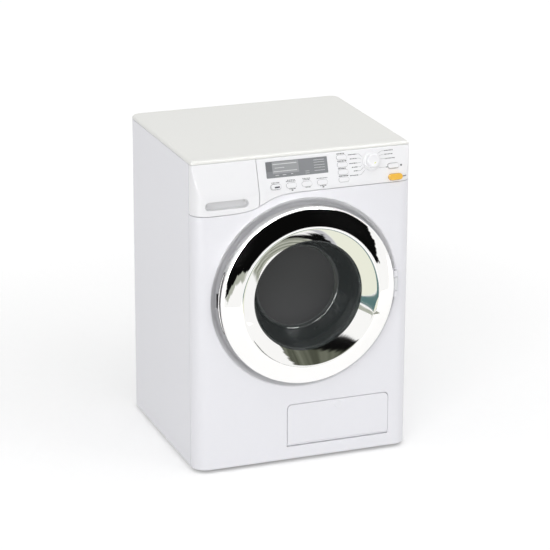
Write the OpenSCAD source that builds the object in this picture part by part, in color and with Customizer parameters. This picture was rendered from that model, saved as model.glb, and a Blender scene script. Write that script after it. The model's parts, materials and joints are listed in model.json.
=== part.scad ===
// Toy front-loading washing machine, with a chrome door ring, a smoked porthole, a sloping control panel,
// a detergent drawer and a drum that a small motor turns through a belt. Sizes are in millimetres.
// +Z is up, the front looks along -Y, and the origin is below the middle of the whole toy.

/* [Casing] */
// Width of the casing
body_w = 185; // [181:1:205]
// Height of the toy, from the floor to the top cover
body_h = 260; // [256:1:285]
// Depth of the casing, without the door
body_d = 165; // [158:1:190]
// Wall of the moulded casing
wall = 2.4; // [1.8:0.1:3]
// Radius of the casing's front upright edges
corner_r = 12; // [8:0.5:12.5]
// Radius of the casing's rear upright edges
rear_corner_r = 8; // [4:0.5:12]
// Gap between neighbouring casing mouldings
seam = 0.5; // [0.3:0.05:0.8]
// Depth of the front mouldings, front face to the upright seam
front_depth = 14; // [12:0.5:18]
// Thickness of the top cover
cover_t = 3; // [2.4:0.1:4]
// Rounding of the top cover's edges
cover_round = 2.4; // [1:0.1:2.8]
// Height of the rubber feet below the casing
foot_h = 3; // [2:0.5:6]
// Radius of the feet
foot_r = 8; // [5:0.5:10]

/* [Control panel] */
// Lean of the control panel away from upright, in degrees
panel_tilt = 19; // [8:1:22]
// Height from the panel's crease to the top of the toy
panel_rise = 29; // [27:0.5:32]
// Width of the display
display_w = 52; // [40:0.5:56]
// Height of the display along the panel
display_h = 13; // [9:0.5:14]
// Length of the start key
start_w = 8.4; // [6:0.2:10]
// Height of the start key and the dummy keys
key_h = 4; // [3:0.1:4.4]
// Length of the power key
power_w = 9.4; // [7:0.2:10.4]
// Length of the door button
door_button_w = 11.2; // [8:0.2:12]
// Height of the door button
door_button_h = 5; // [4:0.1:6]
// How far the start and power keys travel
key_travel = 1.2; // [0.6:0.1:1.6]
// How far the door button travels
button_travel = 3; // [2:0.1:3.4]
// Radius of the dial's skirt
dial_r = 7.4; // [6:0.1:8.4]
// Radius of the dial's grip
dial_grip_r = 5.3; // [4:0.1:5.8]
// Height of the dial above the panel
dial_h = 6.4; // [4:0.1:9]

/* [Detergent drawer] */
// Width of the drawer front, to the middle of its seam
drawer_w = 54; // [48:0.5:60]
// Length of the drawer tray
tray_l = 56; // [40:1:66]
// Height of the drawer tray
tray_h = 22; // [14:0.5:23]
// Wall of the tray and its housing
tray_t = 1.4; // [1:0.1:2]
// Length of the drawer's grip slot
slot_w = 36; // [26:0.5:40]
// Height of the drawer's grip slot
slot_h = 6.8; // [5.6:0.1:7.2]
// Depth of the drawer's grip slot
slot_depth = 5; // [4.4:0.1:6]

/* [Door] */
// Height of the door's centre above the floor
door_z = 145; // [140:0.5:147]
// Radius of the chrome ring
ring_r = 74; // [71:0.5:75]
// How far the chrome ridge stands in front of the casing
door_proud = 15; // [14:0.5:20]
// Wall of the chrome ring
ring_t = 1.8; // [1.4:0.1:2]
// Radius of the porthole inside the funnel
funnel_r = 46; // [44:0.5:48]
// Radius of the porthole bowl's flat end
bowl_end_r = 33; // [28:0.5:35]
// How far the porthole bowl reaches behind the casing's front face
bowl_depth = 18; // [14:0.5:19]
// Wall of the porthole bowl
bowl_t = 1.5; // [1.2:0.1:2]
// Depth of the dish that the door sits in
dish_depth = 4; // [3.5:0.1:5]
// Gap between the chrome ring and the rim of the dish
dish_gap = 5; // [4.6:0.1:5.6]
// Radius of the hinge pin
pin_r = 1.2; // [0.8:0.1:1.4]

/* [Service flap] */
// Width of the flap
flap_w = 88; // [60:1:90]
// Height of the flap
flap_h = 36; // [24:1:38]
// Height of the flap's lower edge above the floor
flap_z = 14; // [12:0.5:16]
// Depth of the pocket behind the flap
pocket_d = 12; // [8:0.5:14]

/* [Tub and drum] */
// Inner radius of the tub
tub_r = 61; // [60:0.5:61.5]
// Wall of the tub
tub_t = 2; // [1.6:0.1:2.4]
// Depth of the tub
tub_depth = 92; // [84:1:95]
// Outer radius of the drum
drum_r = 58; // [55:0.5:59]
// Wall of the drum
drum_t = 1.6; // [1.2:0.1:2.4]
// Radius of the drum's mouth
drum_mouth_r = 50; // [46:0.5:52]
// Radius of the holes in the drum
drum_hole_r = 2; // [1:0.1:2.6]
// Height of the lifters inside the drum
lifter_h = 10; // [6:0.5:12]
// Radius of the drum shaft
shaft_r = 2.5; // [2:0.1:3]

/* [Drive] */
// Radius of the belt's centre line on the drum pulley
pulley_r = 37.2; // [30:0.2:40]
// Radius of the belt's centre line on the motor pulley
pinion_r = 5; // [4.4:0.1:6]
// Width of the belt
belt_w = 3; // [2:0.1:3.6]
// Thickness of the belt
belt_t = 1.4; // [1:0.1:1.8]
// Radius of the motor's can
motor_r = 12; // [10:0.5:13]
// Length of the motor's can
motor_l = 30; // [25:1:34]
// Distance from the drum shaft to the motor shaft, sideways and down
motor_reach = 62; // [60:0.5:64]

/* [Battery and sound] */
// Radius of a battery cell
cell_r = 7.25; // [6.5:0.05:7.25]
// Length of a battery cell
cell_l = 50.5; // [44:0.5:50.5]
// Height of the battery box's floor
battery_z = 20; // [16:0.5:24]
// Radius of the loudspeaker
speaker_r = 14; // [10:0.5:16]

/* [Hidden] */
$fn = 96;

// Places and clearances
fit = 0.2;             // gap between fixed pieces that seat on each other
slide = 0.35;          // gap beside pieces that move
run = 0.06;            // radial clearance of a shaft or pin that turns
half_w = body_w / 2;
y_back = (body_d + door_proud) / 2;
y_front = y_back - body_d;
seam_y = y_front + front_depth;
casing_z = foot_h;                      // lower edge of the casing
cover_z = body_h - cover_t;             // seam below the top cover
crease_z = body_h - panel_rise;
lean = tan(panel_tilt);
in_front = y_front + wall;              // inner face of the front wall
in_back = y_back - wall;

// Edge line below the control panel: low under the drawer, high under the panel, with a soft swing between
line_high = crease_z - 1.6;
line_low = line_high - 13;
line_x = -half_w + drawer_w + 4.5;
line_soft = 6.5;
seam_x = -half_w + drawer_w;
function swing(x) = line_low + (line_high - line_low) / (1 + exp(-(x - line_x) / line_soft));
line_steps = 36;

function arc(c, r, a0, a1, n) = [for (i = [0 : n]) let (a = a0 + (a1 - a0) * i / n) c + r * [cos(a), sin(a)]];
function backwards(p) = [for (i = [len(p) - 1 : -1 : 0]) p[i]];

// ---------------------------------------------------------------- shared shapes

// Rounded rectangle with its own radius at the front and at the back
module plan(inset) {
    hx = half_w - inset;
    y0 = y_front + inset;
    y1 = y_back - inset;
    r0 = corner_r - inset;
    r1 = rear_corner_r - inset;
    translate([-hx + r0, y0]) square([2 * (hx - r0), r0]);
    translate([-hx, y0 + r0]) square([2 * hx, y1 - y0 - r0 - r1]);
    translate([-hx + r1, y1 - r1]) square([2 * (hx - r1), r1]);
    for (sx = [-1, 1]) {
        translate([sx * (hx - r0), y0 + r0]) circle(r0);
        translate([sx * (hx - r1), y1 - r1]) circle(r1);
    }
}

// Solid inside the casing's outer form, moved in by inset all round, between two heights
module envelope(inset, z0, z1) {
    y0 = y_front + inset;
    bend_z = crease_z - inset * tan(panel_tilt / 2);
    top_z = max(z1, bend_z) + 1;
    intersection() {
        translate([0, 0, z0]) linear_extrude(z1 - z0) plan(inset);
        along_x(2 * body_w) polygon([
            [y0, z0 - 1], [y0, bend_z], [y0 + (top_z - bend_z) * lean, top_z],
            [y_back + 1, top_z], [y_back + 1, z0 - 1]]);
    }
}

// Four upright walls of the casing between two heights
module casing_wall(z0, z1) {
    difference() {
        envelope(0, z0, z1);
        envelope(wall, z0 - 2, z1 + 2);
    }
}

// Extrudes a profile drawn in Y and Z along X, about the middle
module along_x(l) rotate([90, 0, 90]) translate([0, 0, -l / 2]) linear_extrude(l) children();

// Extrudes a profile drawn in X and Z along Y, from y0 to y1
module along_y(y0, y1) translate([0, y1, 0]) rotate([90, 0, 0]) linear_extrude(y1 - y0) children();

// Box between two corners
module block(a, b) translate(a) cube(b - a);

// Door frame of reference: local Z looks out of the machine, local Y is up, the casing's face is at 0
module on_door() translate([0, y_front, door_z]) rotate([90, 0, 0]) children();

// Control panel's frame of reference: local Y runs up the panel from the crease, local Z looks out
module on_panel(x = 0, s = 0, out = 0)
    translate([0, y_front, crease_z]) rotate([90 - panel_tilt, 0, 0]) translate([x, s, out]) children();

// Flat shape with round ends
module stadium(w, h) {
    square([w - h, h], center = true);
    for (sx = [-1, 1]) translate([sx * (w - h) / 2, 0]) circle(h / 2);
}

module round_rect(w, h, r) {
    square([w - 2 * r, h], center = true);
    square([w, h - 2 * r], center = true);
    for (sx = [-1, 1], sy = [-1, 1]) translate([sx * (w / 2 - r), sy * (h / 2 - r)]) circle(r);
}

// Ring between two radii, upwards from the origin
module pipe(r_out, r_in, h) difference() {
    cylinder(r = r_out, h = h);
    translate([0, 0, -1]) cylinder(r = r_in, h = h + 2);
}

// Cross-head screw: head up from the origin, shank down
screw_r = 1.3;
screw_head_r = 2.5;
screw_head_h = 1.6;
screw_hole_r = screw_r + 0.05;
module screw(l) difference() {
    union() {
        cylinder(r = screw_head_r, h = screw_head_h);
        translate([0, 0, -l]) cylinder(r = screw_r, h = l + 0.5);
    }
    for (a = [0, 90]) rotate([0, 0, a]) translate([-1.5, -0.3, 0.8]) cube([3, 0.6, 2]);
}

// ---------------------------------------------------------------- casing

// Posts of the front panel that the front screws hold
post_r = 3.6;
post_x = half_w - wall - post_r - 1;
post_low = casing_z + 25;
post_high = door_z + 45;
post_end = seam_y + 0.8;
lug_t = 4;
module at_posts() for (sx = [-1, 1], z = [post_low, post_high])
    translate([sx * post_x, post_end, z]) children();

// Back panel and its rebate in the cabinet
rebate = 12.5;          // casing edge to the back panel
flange_w = 7;
panel_r = 6;
back_z0 = casing_z + 7;
back_z1 = cover_z - 7;
back_mid = (back_z0 + back_z1) / 2;
back_screw_x = half_w - rebate - 3.5;
module back_outline(inset) translate([0, back_mid])
    round_rect(2 * (half_w - rebate - inset), back_z1 - back_z0 - 2 * inset, panel_r);
module at_back_screws() for (sx = [-1, 1], z = [back_z0 + 10, back_mid, back_z1 - 10])
    translate([sx * back_screw_x, y_back, z]) rotate([-90, 0, 0]) children();

// Feet
foot_x = half_w - 20;
foot_y0 = seam_y + foot_r + 4;
foot_y1 = y_back - foot_r - 12;
foot_stud_r = 2.5;
module at_feet() for (sx = [-1, 1], y = [foot_y0, foot_y1]) translate([sx * foot_x, y, 0]) children();

// Floor, sides and rear frame in one moulding, open at the front, the top and the back
module cabinet() color("white") difference() {
    union() {
        intersection() {
            casing_wall(casing_z, cover_z - fit);
            block([-body_w, seam_y + seam / 2, -1], [body_w, y_back + 1, body_h]);
        }
        intersection() {
            envelope(wall / 2, casing_z, casing_z + wall);
            block([-body_w, seam_y + seam / 2, -1], [body_w, y_back + 1, body_h]);
        }
        along_y(in_back - wall, in_back) difference() {
            back_outline(-1);
            back_outline(flange_w);
        }
        for (sx = [-1, 1], z = [post_low, post_high]) translate([sx * post_x, 0, z])
            block([min(-sx * post_r, sx * (half_w - wall / 2 - post_x)), post_end + fit, -5],
                  [max(-sx * post_r, sx * (half_w - wall / 2 - post_x)), post_end + fit + lug_t, 5]);
        block([-half_w + wall / 2, seam_y + 6, rail_z - 3], [-half_w + wall + 6, housing_y1 - 4, rail_z]);
    }
    along_y(in_back, y_back + 1) back_outline(0);
    at_posts() translate([0, -1, 0]) rotate([-90, 0, 0]) cylinder(r = screw_hole_r, h = lug_t + 3);
    at_back_screws() translate([0, 0, -8]) cylinder(r = screw_hole_r, h = 12);
    at_feet() cylinder(r = foot_stud_r, h = 20);
}

// Lid of the casing, with a lip that drops inside the walls
lip_d = 3;
module top_cover() color("ivory") {
    yc = y_front + (cover_z - crease_z) * lean;
    edge = body_h - cover_round;
    front_c = [y_front + (edge - crease_z) * lean + cover_round / cos(panel_tilt), edge];
    intersection() {
        envelope(0, cover_z, body_h);
        along_x(2 * body_w) polygon(concat(
            [[yc - 5, cover_z - 1], [yc - 5, crease_z], [y_front + (edge - crease_z) * lean, edge]],
            arc(front_c, cover_round, 180 - panel_tilt, 90, 6),
            arc([y_back - cover_round, edge], cover_round, 90, 0, 6), [[y_back, cover_z - 1]]));
        along_y(y_front - 5, y_back + 5) polygon(concat(
            [[-half_w, cover_z - 1]], arc([-half_w + cover_round, edge], cover_round, 180, 90, 6),
            arc([half_w - cover_round, edge], cover_round, 90, 0, 6), [[half_w, cover_z - 1]]));
    }
    difference() {
        envelope(wall + fit, cover_z - lip_d, cover_z + 0.5);
        envelope(2 * wall + fit, cover_z - lip_d - 1, cover_z);
        block([-body_w, y_front - 1, 0], [body_w, seam_y + 6, body_h + 1]);
    }
}

// Rubber feet, each with a stud through the floor
module feet() color("dimgray") at_feet() {
    cylinder(r = foot_r, h = foot_h - 0.01);
    translate([0, 0, foot_h - 0.5]) cylinder(r = foot_stud_r - 0.05, h = wall + 0.5);
    translate([0, 0, foot_h + wall + 0.05]) cylinder(r = foot_stud_r + 0.9, h = 1);
}

// Removable back, with the battery door's opening, the sound grille and the drain outlet's hole
grille_x = half_w - 44.5;
grille_z = cover_z - 42;
grille_pitch = 4;
grille_hole_r = 1.1;
box_t = 1.6;                            // wall of the battery box
cells = 3;
cell_pitch = 2 * cell_r + 1.2;
contact_room = 4.5;                     // from a cell's end to the box wall
box_hx = cell_l / 2 + contact_room + box_t;
box_h = cells * cell_pitch + 2 * box_t;
battery_mid = battery_z + box_h / 2;
tab_x = 5;                              // half width of the battery cover's screw tab
tab_h = 8;                              // height of the tab above the cover
outlet_r = 11;
drain_x = -(box_hx + outlet_r + 10.15);
drain_z = battery_z + 14;
module back_panel() color("whitesmoke") difference() {
    union() {
        along_y(in_back, y_back) back_outline(fit);
        translate([grille_x, in_back - 2, grille_z]) rotate([-90, 0, 0])
            pipe(speaker_r + 2, speaker_r + fit, 2.5);
    }
    for (i = [-3 : 3], j = [-3 : 3]) if (norm([i, j]) * grille_pitch < speaker_r - 1)
        translate([grille_x + i * grille_pitch, in_back - 1, grille_z + j * grille_pitch])
            rotate([-90, 0, 0]) cylinder(r = grille_hole_r, h = wall + 2);
    translate([0, in_back - 1, battery_mid]) rotate([-90, 0, 0]) linear_extrude(wall + 2)
        round_rect(2 * box_hx, box_h, 2);
    translate([drain_x, in_back - 1, drain_z]) rotate([-90, 0, 0]) cylinder(r = outlet_r + fit, h = wall + 2);
    block([-tab_x - fit, in_back - 1, battery_z + box_h - 1],
          [tab_x + fit, y_back + 1, battery_z + box_h + tab_h + fit]);
    at_back_screws() {
        translate([0, 0, -8]) cylinder(r = screw_hole_r, h = 12);
        translate([0, 0, -screw_head_h]) cylinder(r = screw_head_r + fit, h = 5);
    }
}

module back_screws() color("silver") at_back_screws() translate([0, 0, -screw_head_h]) screw(2 * wall - 0.2);

module front_screws() color("silver") at_posts() translate([0, fit + lug_t, 0]) rotate([-90, 0, 0]) screw(9);

// Flange of the dish round the door opening, the neck that holds the seal, and the tub's bosses
dish_r = ring_r + dish_gap;
neck_r = 57;
neck_len = 6.4;
floor_p = -dish_depth;                  // dish floor, in door coordinates
floor_back_p = floor_p - wall;
neck_p = floor_back_p - neck_len;
lug_r = 69;
boss_r = 4;
function lug_places() = [for (a = [45 : 90 : 315]) lug_r * [cos(a), sin(a)]];

// Door latch opening in the dish floor
hook_x = ring_r - 6.2;
hook_half = 4;

// Hinge at the right edge of the door
hinge_x = ring_r + 2.6;
hinge_p = 2.5;
knuckle_r = 2.8;
knuckle_half = 5.5;
ear_half = 11;
ear_l = ear_half - knuckle_half - slide;

flap_x1 = half_w - 18.5;                // right edge of the flap
flap_x0 = flap_x1 - flap_w;
flap_r = 4;
flap_mid = [(flap_x0 + flap_x1) / 2, flap_z + flap_h / 2];
flap_pin_r = 1.5;
flap_barrel_r = 2.8;                    // rounded lower edge of the flap, about its hinge
flap_proud = 0.6;
flap_axis_y = y_front - flap_proud + flap_barrel_r;
flap_axis_z = flap_z + flap_barrel_r;
pocket_t = 1.6;
cheek_x = 3;                            // length of the flap's hinge pins

// Flap's outline, grown by more: round upper corners, square lower ones at the hinge
module flap_outline(more) translate(flap_mid) {
    round_rect(flap_w + 2 * more, flap_h + 2 * more, flap_r);
    translate([0, -flap_h / 4]) square([flap_w + 2 * more, flap_h / 2 + 2 * more], center = true);
}

// Front of the casing below the swing line
module front_panel() color("white") difference() {
    union() {
        difference() {
            intersection() {
                casing_wall(casing_z, line_high + 5);
                block([-body_w, y_front - 1, -1], [body_w, seam_y - seam / 2, body_h]);
                along_y(y_front - 1, seam_y) polygon(concat([[half_w, 0]],
                    [for (i = [line_steps : -1 : 0]) let (x = -half_w + body_w * i / line_steps)
                        [x, swing(x) - seam / 2]], [[-half_w, 0]]));
            }
            on_door() cylinder(r = dish_r, h = 3 * wall, center = true);
        }
        intersection() {
            envelope(wall / 2, casing_z, casing_z + wall);
            block([-body_w, y_front, -1], [body_w, seam_y - seam / 2, body_h]);
        }
        on_door() rotate_extrude() polygon([
            [neck_r, floor_p], [dish_r - dish_gap + 1, floor_p], [dish_r, 0], [dish_r + 0.4, 0],
            [dish_r + 0.4, -wall], [dish_r + wall / 2, -wall],
            [dish_r - dish_gap + 1 + wall / 2, floor_back_p],
            [neck_r + wall, floor_back_p], [neck_r + wall, neck_p], [neck_r, neck_p]]);
        on_door() for (p = lug_places()) translate([p.x, p.y, neck_p - fit])
            cylinder(r = boss_r, h = neck_len + fit + wall / 2);
        on_door() for (low = [-ear_half, knuckle_half + slide]) translate([hinge_x, low, 0]) {
            translate([0, 0, hinge_p]) rotate([-90, 0, 0]) cylinder(r = knuckle_r, h = ear_l);
            translate([-knuckle_r, 0, floor_back_p]) cube([2 * knuckle_r, ear_l, hinge_p - floor_back_p]);
        }
        intersection() {
            for (sx = [-1, 1], z = [post_low, post_high]) translate([sx * post_x, in_front - 0.5, z])
                rotate([-90, 0, 0]) cylinder(r = post_r, h = post_end - in_front + 0.5);
            envelope(wall / 2, casing_z, line_low);
        }
        block([-half_w + corner_r, in_front - 0.5, line_low - 4], [seam_x - 6, seam_y + 2, line_low - 1]);
        block([-half_w + corner_r, in_front + 0.4, line_low - 2], [seam_x - 6, seam_y + 2, rail_z]);
        bar_guides();
        along_y(in_front - 0.2, in_front + pocket_d) difference() {
            translate(flap_mid)
                square([flap_w + 2 * (slide + pocket_t + cheek_x), flap_h + 2 * (slide + pocket_t)],
                    center = true);
            flap_outline(slide);
        }
        along_y(in_front + pocket_d - pocket_t, in_front + pocket_d) translate(flap_mid)
            square([flap_w + 2 * (slide + pocket_t), flap_h + 2 * (slide + pocket_t)], center = true);
    }
    along_y(y_front - 1, in_front) flap_outline(slide);
    translate([flap_x0 - cheek_x, flap_axis_y, flap_axis_z]) rotate([0, 90, 0])
        cylinder(r = flap_pin_r + run, h = flap_w + 2 * cheek_x);
    on_door() {
        for (p = lug_places()) translate([p.x, p.y, neck_p - 1])
            cylinder(r = screw_hole_r, h = neck_len + 1);
        translate([-hook_x - 5.4, -hook_half - 2, floor_back_p - 1]) cube([8.6, 2 * hook_half + 4, wall + 2]);
        translate([hinge_x, 0, hinge_p]) rotate([90, 0, 0])
            cylinder(r = pin_r + 0.01, h = 2 * ear_half + 2, center = true);
    }
    at_posts() rotate([90, 0, 0]) translate([0, 0, -1]) cylinder(r = screw_hole_r, h = 9);
}

// Guides of the release bar on the back of the front panel
bar_y0 = y_front - floor_back_p + 2.4;  // front face of the release bar
bar_t = 2;
bar_z0 = door_z + neck_r + wall + 2.8;
bar_h = 5;
guide_x = 40;
module bar_guides() for (sx = [-1, 1], z = [bar_z0 - slide - 2, bar_z0 + bar_h + slide])
    block([sx * guide_x - 4, y_front - floor_p, z], [sx * guide_x + 4, bar_y0 + bar_t, z + 2]);

// ---------------------------------------------------------------- control panel

// Places on the sloping panel: X as a share of the panel's width, and the distance up from the crease
panel_w = half_w - seam_x;
function across(share) = seam_x + share * panel_w;
display_at = [across(0.255), 17.9];
start_at = [across(0.107), 4.3];
key_pitch = panel_w / 10;               // row of keys below the display
column_at = [across(0.5474), 4.6];
column_pitch = 5.9;                     // column of keys beside the dial
column_w = 8.6;
dial_at = [across(0.735), 17.1];
power_at = [across(0.877), 11.6];
door_button_at = [across(0.8818), 2.6];
display_recess = 1.2;
pad_h = 0.4;
board_out = -9.3;                       // front face of the board, behind the panel's face
board_t = 1.2;
dial_shaft_r = 3;
stem_end = board_out + 2 + 0.1;         // end of a key's stem, just clear of its switch when pressed
post_places = [[seam_x + 5.5, 24.5], [seam_x + 5.5, 8], [across(0.4947), 25.2], [half_w - 10, 24.5]];
post_stud_r = 2.2;
backing = [across(0.248), across(0.782)];   // ends of the bar behind the panel's lower edge

module control_fascia() color("white") {
    difference() {
        union() {
            intersection() {
                casing_wall(line_low, cover_z - fit);
                block([-body_w, y_front - 1, 0], [body_w, seam_y - seam / 2, body_h]);
                along_y(y_front - 1, seam_y) polygon(concat(
                    [[seam_x + seam / 2, body_h]],
                    [for (i = [0 : line_steps])
                     let (x = seam_x + seam / 2 + (half_w - seam_x) * i / line_steps)
                        [x, swing(x) + seam / 2]], [[half_w + 1, body_h]]));
            }
            block([backing[0], in_front + fit, door_z + dish_r + wall / 2 + fit],
                  [backing[1], in_front + fit + 2, crease_z + 2]);
            for (p = post_places) on_panel(p.x, p.y, board_out)
                cylinder(r = post_stud_r, h = -board_out - 0.7 * wall);
            dummy_keys();
        }
        on_panel(display_at.x, display_at.y, -display_recess) linear_extrude(5)
            square([display_w, display_h], center = true);
        on_panel(dial_at.x, dial_at.y, -5) cylinder(r = dial_shaft_r + run, h = 10);
        key_hole(start_at, start_w, key_h);
        key_hole(power_at, power_w, key_h - 0.2);
        key_hole(door_button_at, door_button_w, door_button_h);
    }
}

module key_hole(at, w, h) on_panel(at.x, at.y, -5) linear_extrude(10) stadium(w + slide, h + slide);

// Raised keys that are part of the panel and don't travel
module dummy_keys() {
    for (i = [1 : 3]) on_panel(start_at.x + i * key_pitch, start_at.y, -0.5)
        linear_extrude(pad_h + 0.5) stadium(start_w, key_h);
    for (i = [0 : 3]) on_panel(column_at.x, column_at.y + i * column_pitch, -0.5)
        linear_extrude(pad_h + 0.5) stadium(column_w, key_h - 0.4);
}

module display_window() color("slategray") on_panel(display_at.x, display_at.y, -display_recess)
    linear_extrude(display_recess - 0.25) square([display_w - 0.1, display_h - 0.1], center = true);

// Key: cap above the panel, stem behind it, and a rim at both ends that keeps it in
rim = 0.8;
rim_out = -wall - 0.25;
module key(at, w, h, proud, end) on_panel(at.x, at.y, 0) {
    translate([0, 0, rim_out]) linear_extrude(proud - rim_out) stadium(w, h);
    translate([0, 0, rim_out - 0.8]) linear_extrude(0.8) stadium(w + 2 * rim, h);
    translate([0, 0, end]) linear_extrude(rim_out - end) stadium(h, h - 1);
}

module start_key() color("white") key(start_at, start_w, key_h, key_travel + 0.2, stem_end + key_travel);
module power_key() color("white")
    key(power_at, power_w, key_h - 0.2, key_travel + 0.2, stem_end + key_travel);

// Door button, with a blade behind it whose slanted edge pushes the release bar aside
wedge_x = door_button_at.x - 3.5;
blade_y0 = bar_y0 - 3.8;
blade_y1 = bar_y0 + 4;
blade_z0 = bar_z0 + bar_h + 14;
blade_top = crease_z + 1;
module door_button() color("orange") {
    key(door_button_at, door_button_w, door_button_h, button_travel - 0.4, -5.4);
    translate([0, 0, blade_z0]) linear_extrude(blade_top - blade_z0) polygon([
        [wedge_x + slide, blade_y0], [wedge_x + slide, bar_y0], [wedge_x + slide + 4, blade_y1],
        [wedge_x + 6.5, blade_y1], [wedge_x + 6.5, blade_y0]]);
}

// Bar behind the front panel, from the door button across to the latch at the left of the door
leg_x0 = -(ring_r + 3.5);
leg_x1 = -(hook_x + 4.7);
leg_low = door_z - hook_half - 2;
module release_bar() color("gainsboro") {
    translate([0, bar_y0, 0]) {
        block([leg_x0, 0, bar_z0], [wedge_x - 4, bar_t, bar_z0 + bar_h]);
        block([leg_x0, 0, leg_low], [leg_x1, bar_t, bar_z0 + bar_h]);
    }
    translate([0, 0, bar_z0]) linear_extrude(blade_z0 - bar_z0 + 5.5) polygon([
        [wedge_x - 8, bar_y0], [wedge_x - slide, bar_y0], [wedge_x - slide + bar_t, bar_y0 + bar_t],
        [wedge_x - 8, bar_y0 + bar_t]]);
    block([leg_x1 - 1, bar_y0, leg_low], [leg_x1 + 0.7, bar_y0 + 1, leg_low + 2 * hook_half + 4]);
}

module program_dial() color("white") on_panel(dial_at.x, dial_at.y, 0) {
    difference() {
        union() {
            translate([0, 0, slide]) cylinder(r = dial_r, h = 1.6);
            translate([0, 0, slide]) cylinder(r = dial_grip_r, h = dial_h - slide);
            translate([0, 0, board_out + 2.8]) cylinder(r = dial_shaft_r, h = slide - board_out - 2.7);
        }
        rotate([0, 0, marker_angle]) translate([dial_grip_r - 1.7, 0, dial_h - 0.5]) cylinder(r = 0.8, h = 2);
    }
    translate([0, 0, board_out + 2.8]) cylinder(r = dial_shaft_r + 0.7, h = 1);
}

marker_angle = -50;
module dial_marker() color("yellowgreen") on_panel(dial_at.x, dial_at.y, 0) rotate([0, 0, marker_angle])
    translate([dial_grip_r - 1.7, 0, dial_h - 0.5]) cylinder(r = 0.8, h = 0.6);

// Circuit board on the panel's posts, cut away below the door button
board_x = [seam_x + 2.5, dial_at.x + 2.2, half_w - 6.5];    // left end, end of the tall part, right end
board_s = [1, 8.5, 27];                 // lower edge, lower edge beside the door button, upper edge
module control_board() color("green") on_panel(0, 0, board_out - board_t)
    linear_extrude(board_t) difference() {
    union() {
        translate([board_x[0], board_s[0]]) square([board_x[1] - board_x[0], board_s[2] - board_s[0]]);
        translate([board_x[1] - 1, board_s[1]])
            square([board_x[2] - board_x[1] + 1, board_s[2] - board_s[1]]);
    }
    for (p = post_places) translate(p) circle(1);
}

// Switches behind the two keys, the dial's selector, the sound chip and a capacitor
switch_w = 6;
selector_w = 12;
chip = [12, 8, 1.6];
capacitor_r = 3;
capacitor_l = 9;
module board_parts() color("black") {
    for (at = [start_at, power_at]) on_panel(at.x, at.y, board_out) {
        translate([-switch_w / 2, -switch_w / 2, 0]) cube([switch_w, switch_w, 1.4]);
        cylinder(r = 1.6, h = 2);
    }
    on_panel(dial_at.x, dial_at.y, board_out)
        translate([-selector_w / 2, -selector_w / 2, 0]) cube([selector_w, selector_w, 2.5]);
    on_panel(0, 0, board_out - board_t) {
        translate([display_at.x - chip.x / 2, 12, -chip.z]) cube(chip);
        translate([across(0.4924), 14, -capacitor_l]) cylinder(r = capacitor_r, h = capacitor_l);
    }
}

// ---------------------------------------------------------------- detergent drawer

slot_z = line_low + 8.3;
slot_x = (-half_w + seam_x) / 2;
tray_x0 = -half_w + wall + 4.5;
tray_x1 = seam_x - 3.5;
tray_z0 = line_low + 3;
tray_y0 = y_front + 9;
tray_y1 = tray_y0 + tray_l;
housing_y1 = tray_y1 + 4;
rail_z = tray_z0 - slide - tray_t - fit;

module drawer_front() color("white") difference() {
    union() {
        intersection() {
            casing_wall(line_low - 5, cover_z - fit);
            block([-body_w, y_front - 1, 0], [body_w, seam_y - seam / 2, body_h]);
            along_y(y_front - 1, seam_y) polygon(concat([[-half_w - 1, body_h]],
                [for (i = [0 : line_steps]) let (x = -half_w - 1 + (drawer_w + 1 - seam / 2) * i / line_steps)
                    [x, swing(x) + seam / 2]], [[seam_x - seam / 2, body_h]]));
        }
        along_y(in_front - 0.2, y_front + slot_depth + 1.4) translate([slot_x, slot_z])
            stadium(slot_w + 2.8, slot_h + 2.8);
        for (x = [tray_x0 + 4, tray_x1 - 8])
            block([x, in_front - 0.2, tray_z0 + 6], [x + 4, tray_y0, tray_z0 + 12]);
    }
    along_y(y_front - 1, y_front + slot_depth) translate([slot_x, slot_z]) stadium(slot_w, slot_h);
}

// Tray with two walls across it, which part the three compartments
module drawer_tray() color("aliceblue") difference() {
    block([tray_x0, tray_y0, tray_z0], [tray_x1, tray_y1, tray_z0 + tray_h]);
    inner_w = tray_x1 - tray_x0 - 2 * tray_t;
    cell_w = (inner_w - 2 * tray_t) / 3;
    for (i = [0 : 2])
        translate([tray_x0 + tray_t + i * (cell_w + tray_t), tray_y0 + tray_t, tray_z0 + tray_t])
        cube([cell_w, tray_l - 2 * tray_t, tray_h]);
}

// Channel that the drawer runs in, with the spout that feeds the tub
spout = [tray_x1 - 8, housing_y1 - 12];
hose_bore = 6.1;
hose_t = 1.4;
spout_r = hose_bore - 0.1;
module dispenser_housing() color("lightgray") difference() {
    x0 = tray_x0 - slide - tray_t;
    x1 = tray_x1 + slide + tray_t;
    z0 = tray_z0 - slide - tray_t;
    union() {
        block([x0, tray_y0 + 2, z0], [x1, housing_y1, tray_z0 + tray_h + 2]);
        translate([spout.x, spout.y, z0 - 8]) cylinder(r = spout_r, h = 9);
    }
    block([x0 + tray_t, tray_y0, z0 + tray_t], [x1 - tray_t, housing_y1 - tray_t, tray_z0 + tray_h + 5]);
    translate([spout.x, spout.y, z0 - 10]) cylinder(r = spout_r - 1.4, h = 20);
}

// Short hose from the spout to the tub's inlet
hose_z0 = door_z + sqrt(pow(tub_r + tub_t, 2) - pow(abs(spout.x) - hose_bore - hose_t, 2)) + 0.3;
inlet_z = hose_z0 + 6;
inlet_z0 = door_z + sqrt(pow(tub_r, 2) - pow(abs(spout.x) + spout_r, 2)) - 2;
module fill_hose() color("gray") translate([spout.x, spout.y, hose_z0])
    pipe(hose_bore + hose_t, hose_bore, rail_z + fit - 0.3 - hose_z0);

// ---------------------------------------------------------------- service flap

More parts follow.
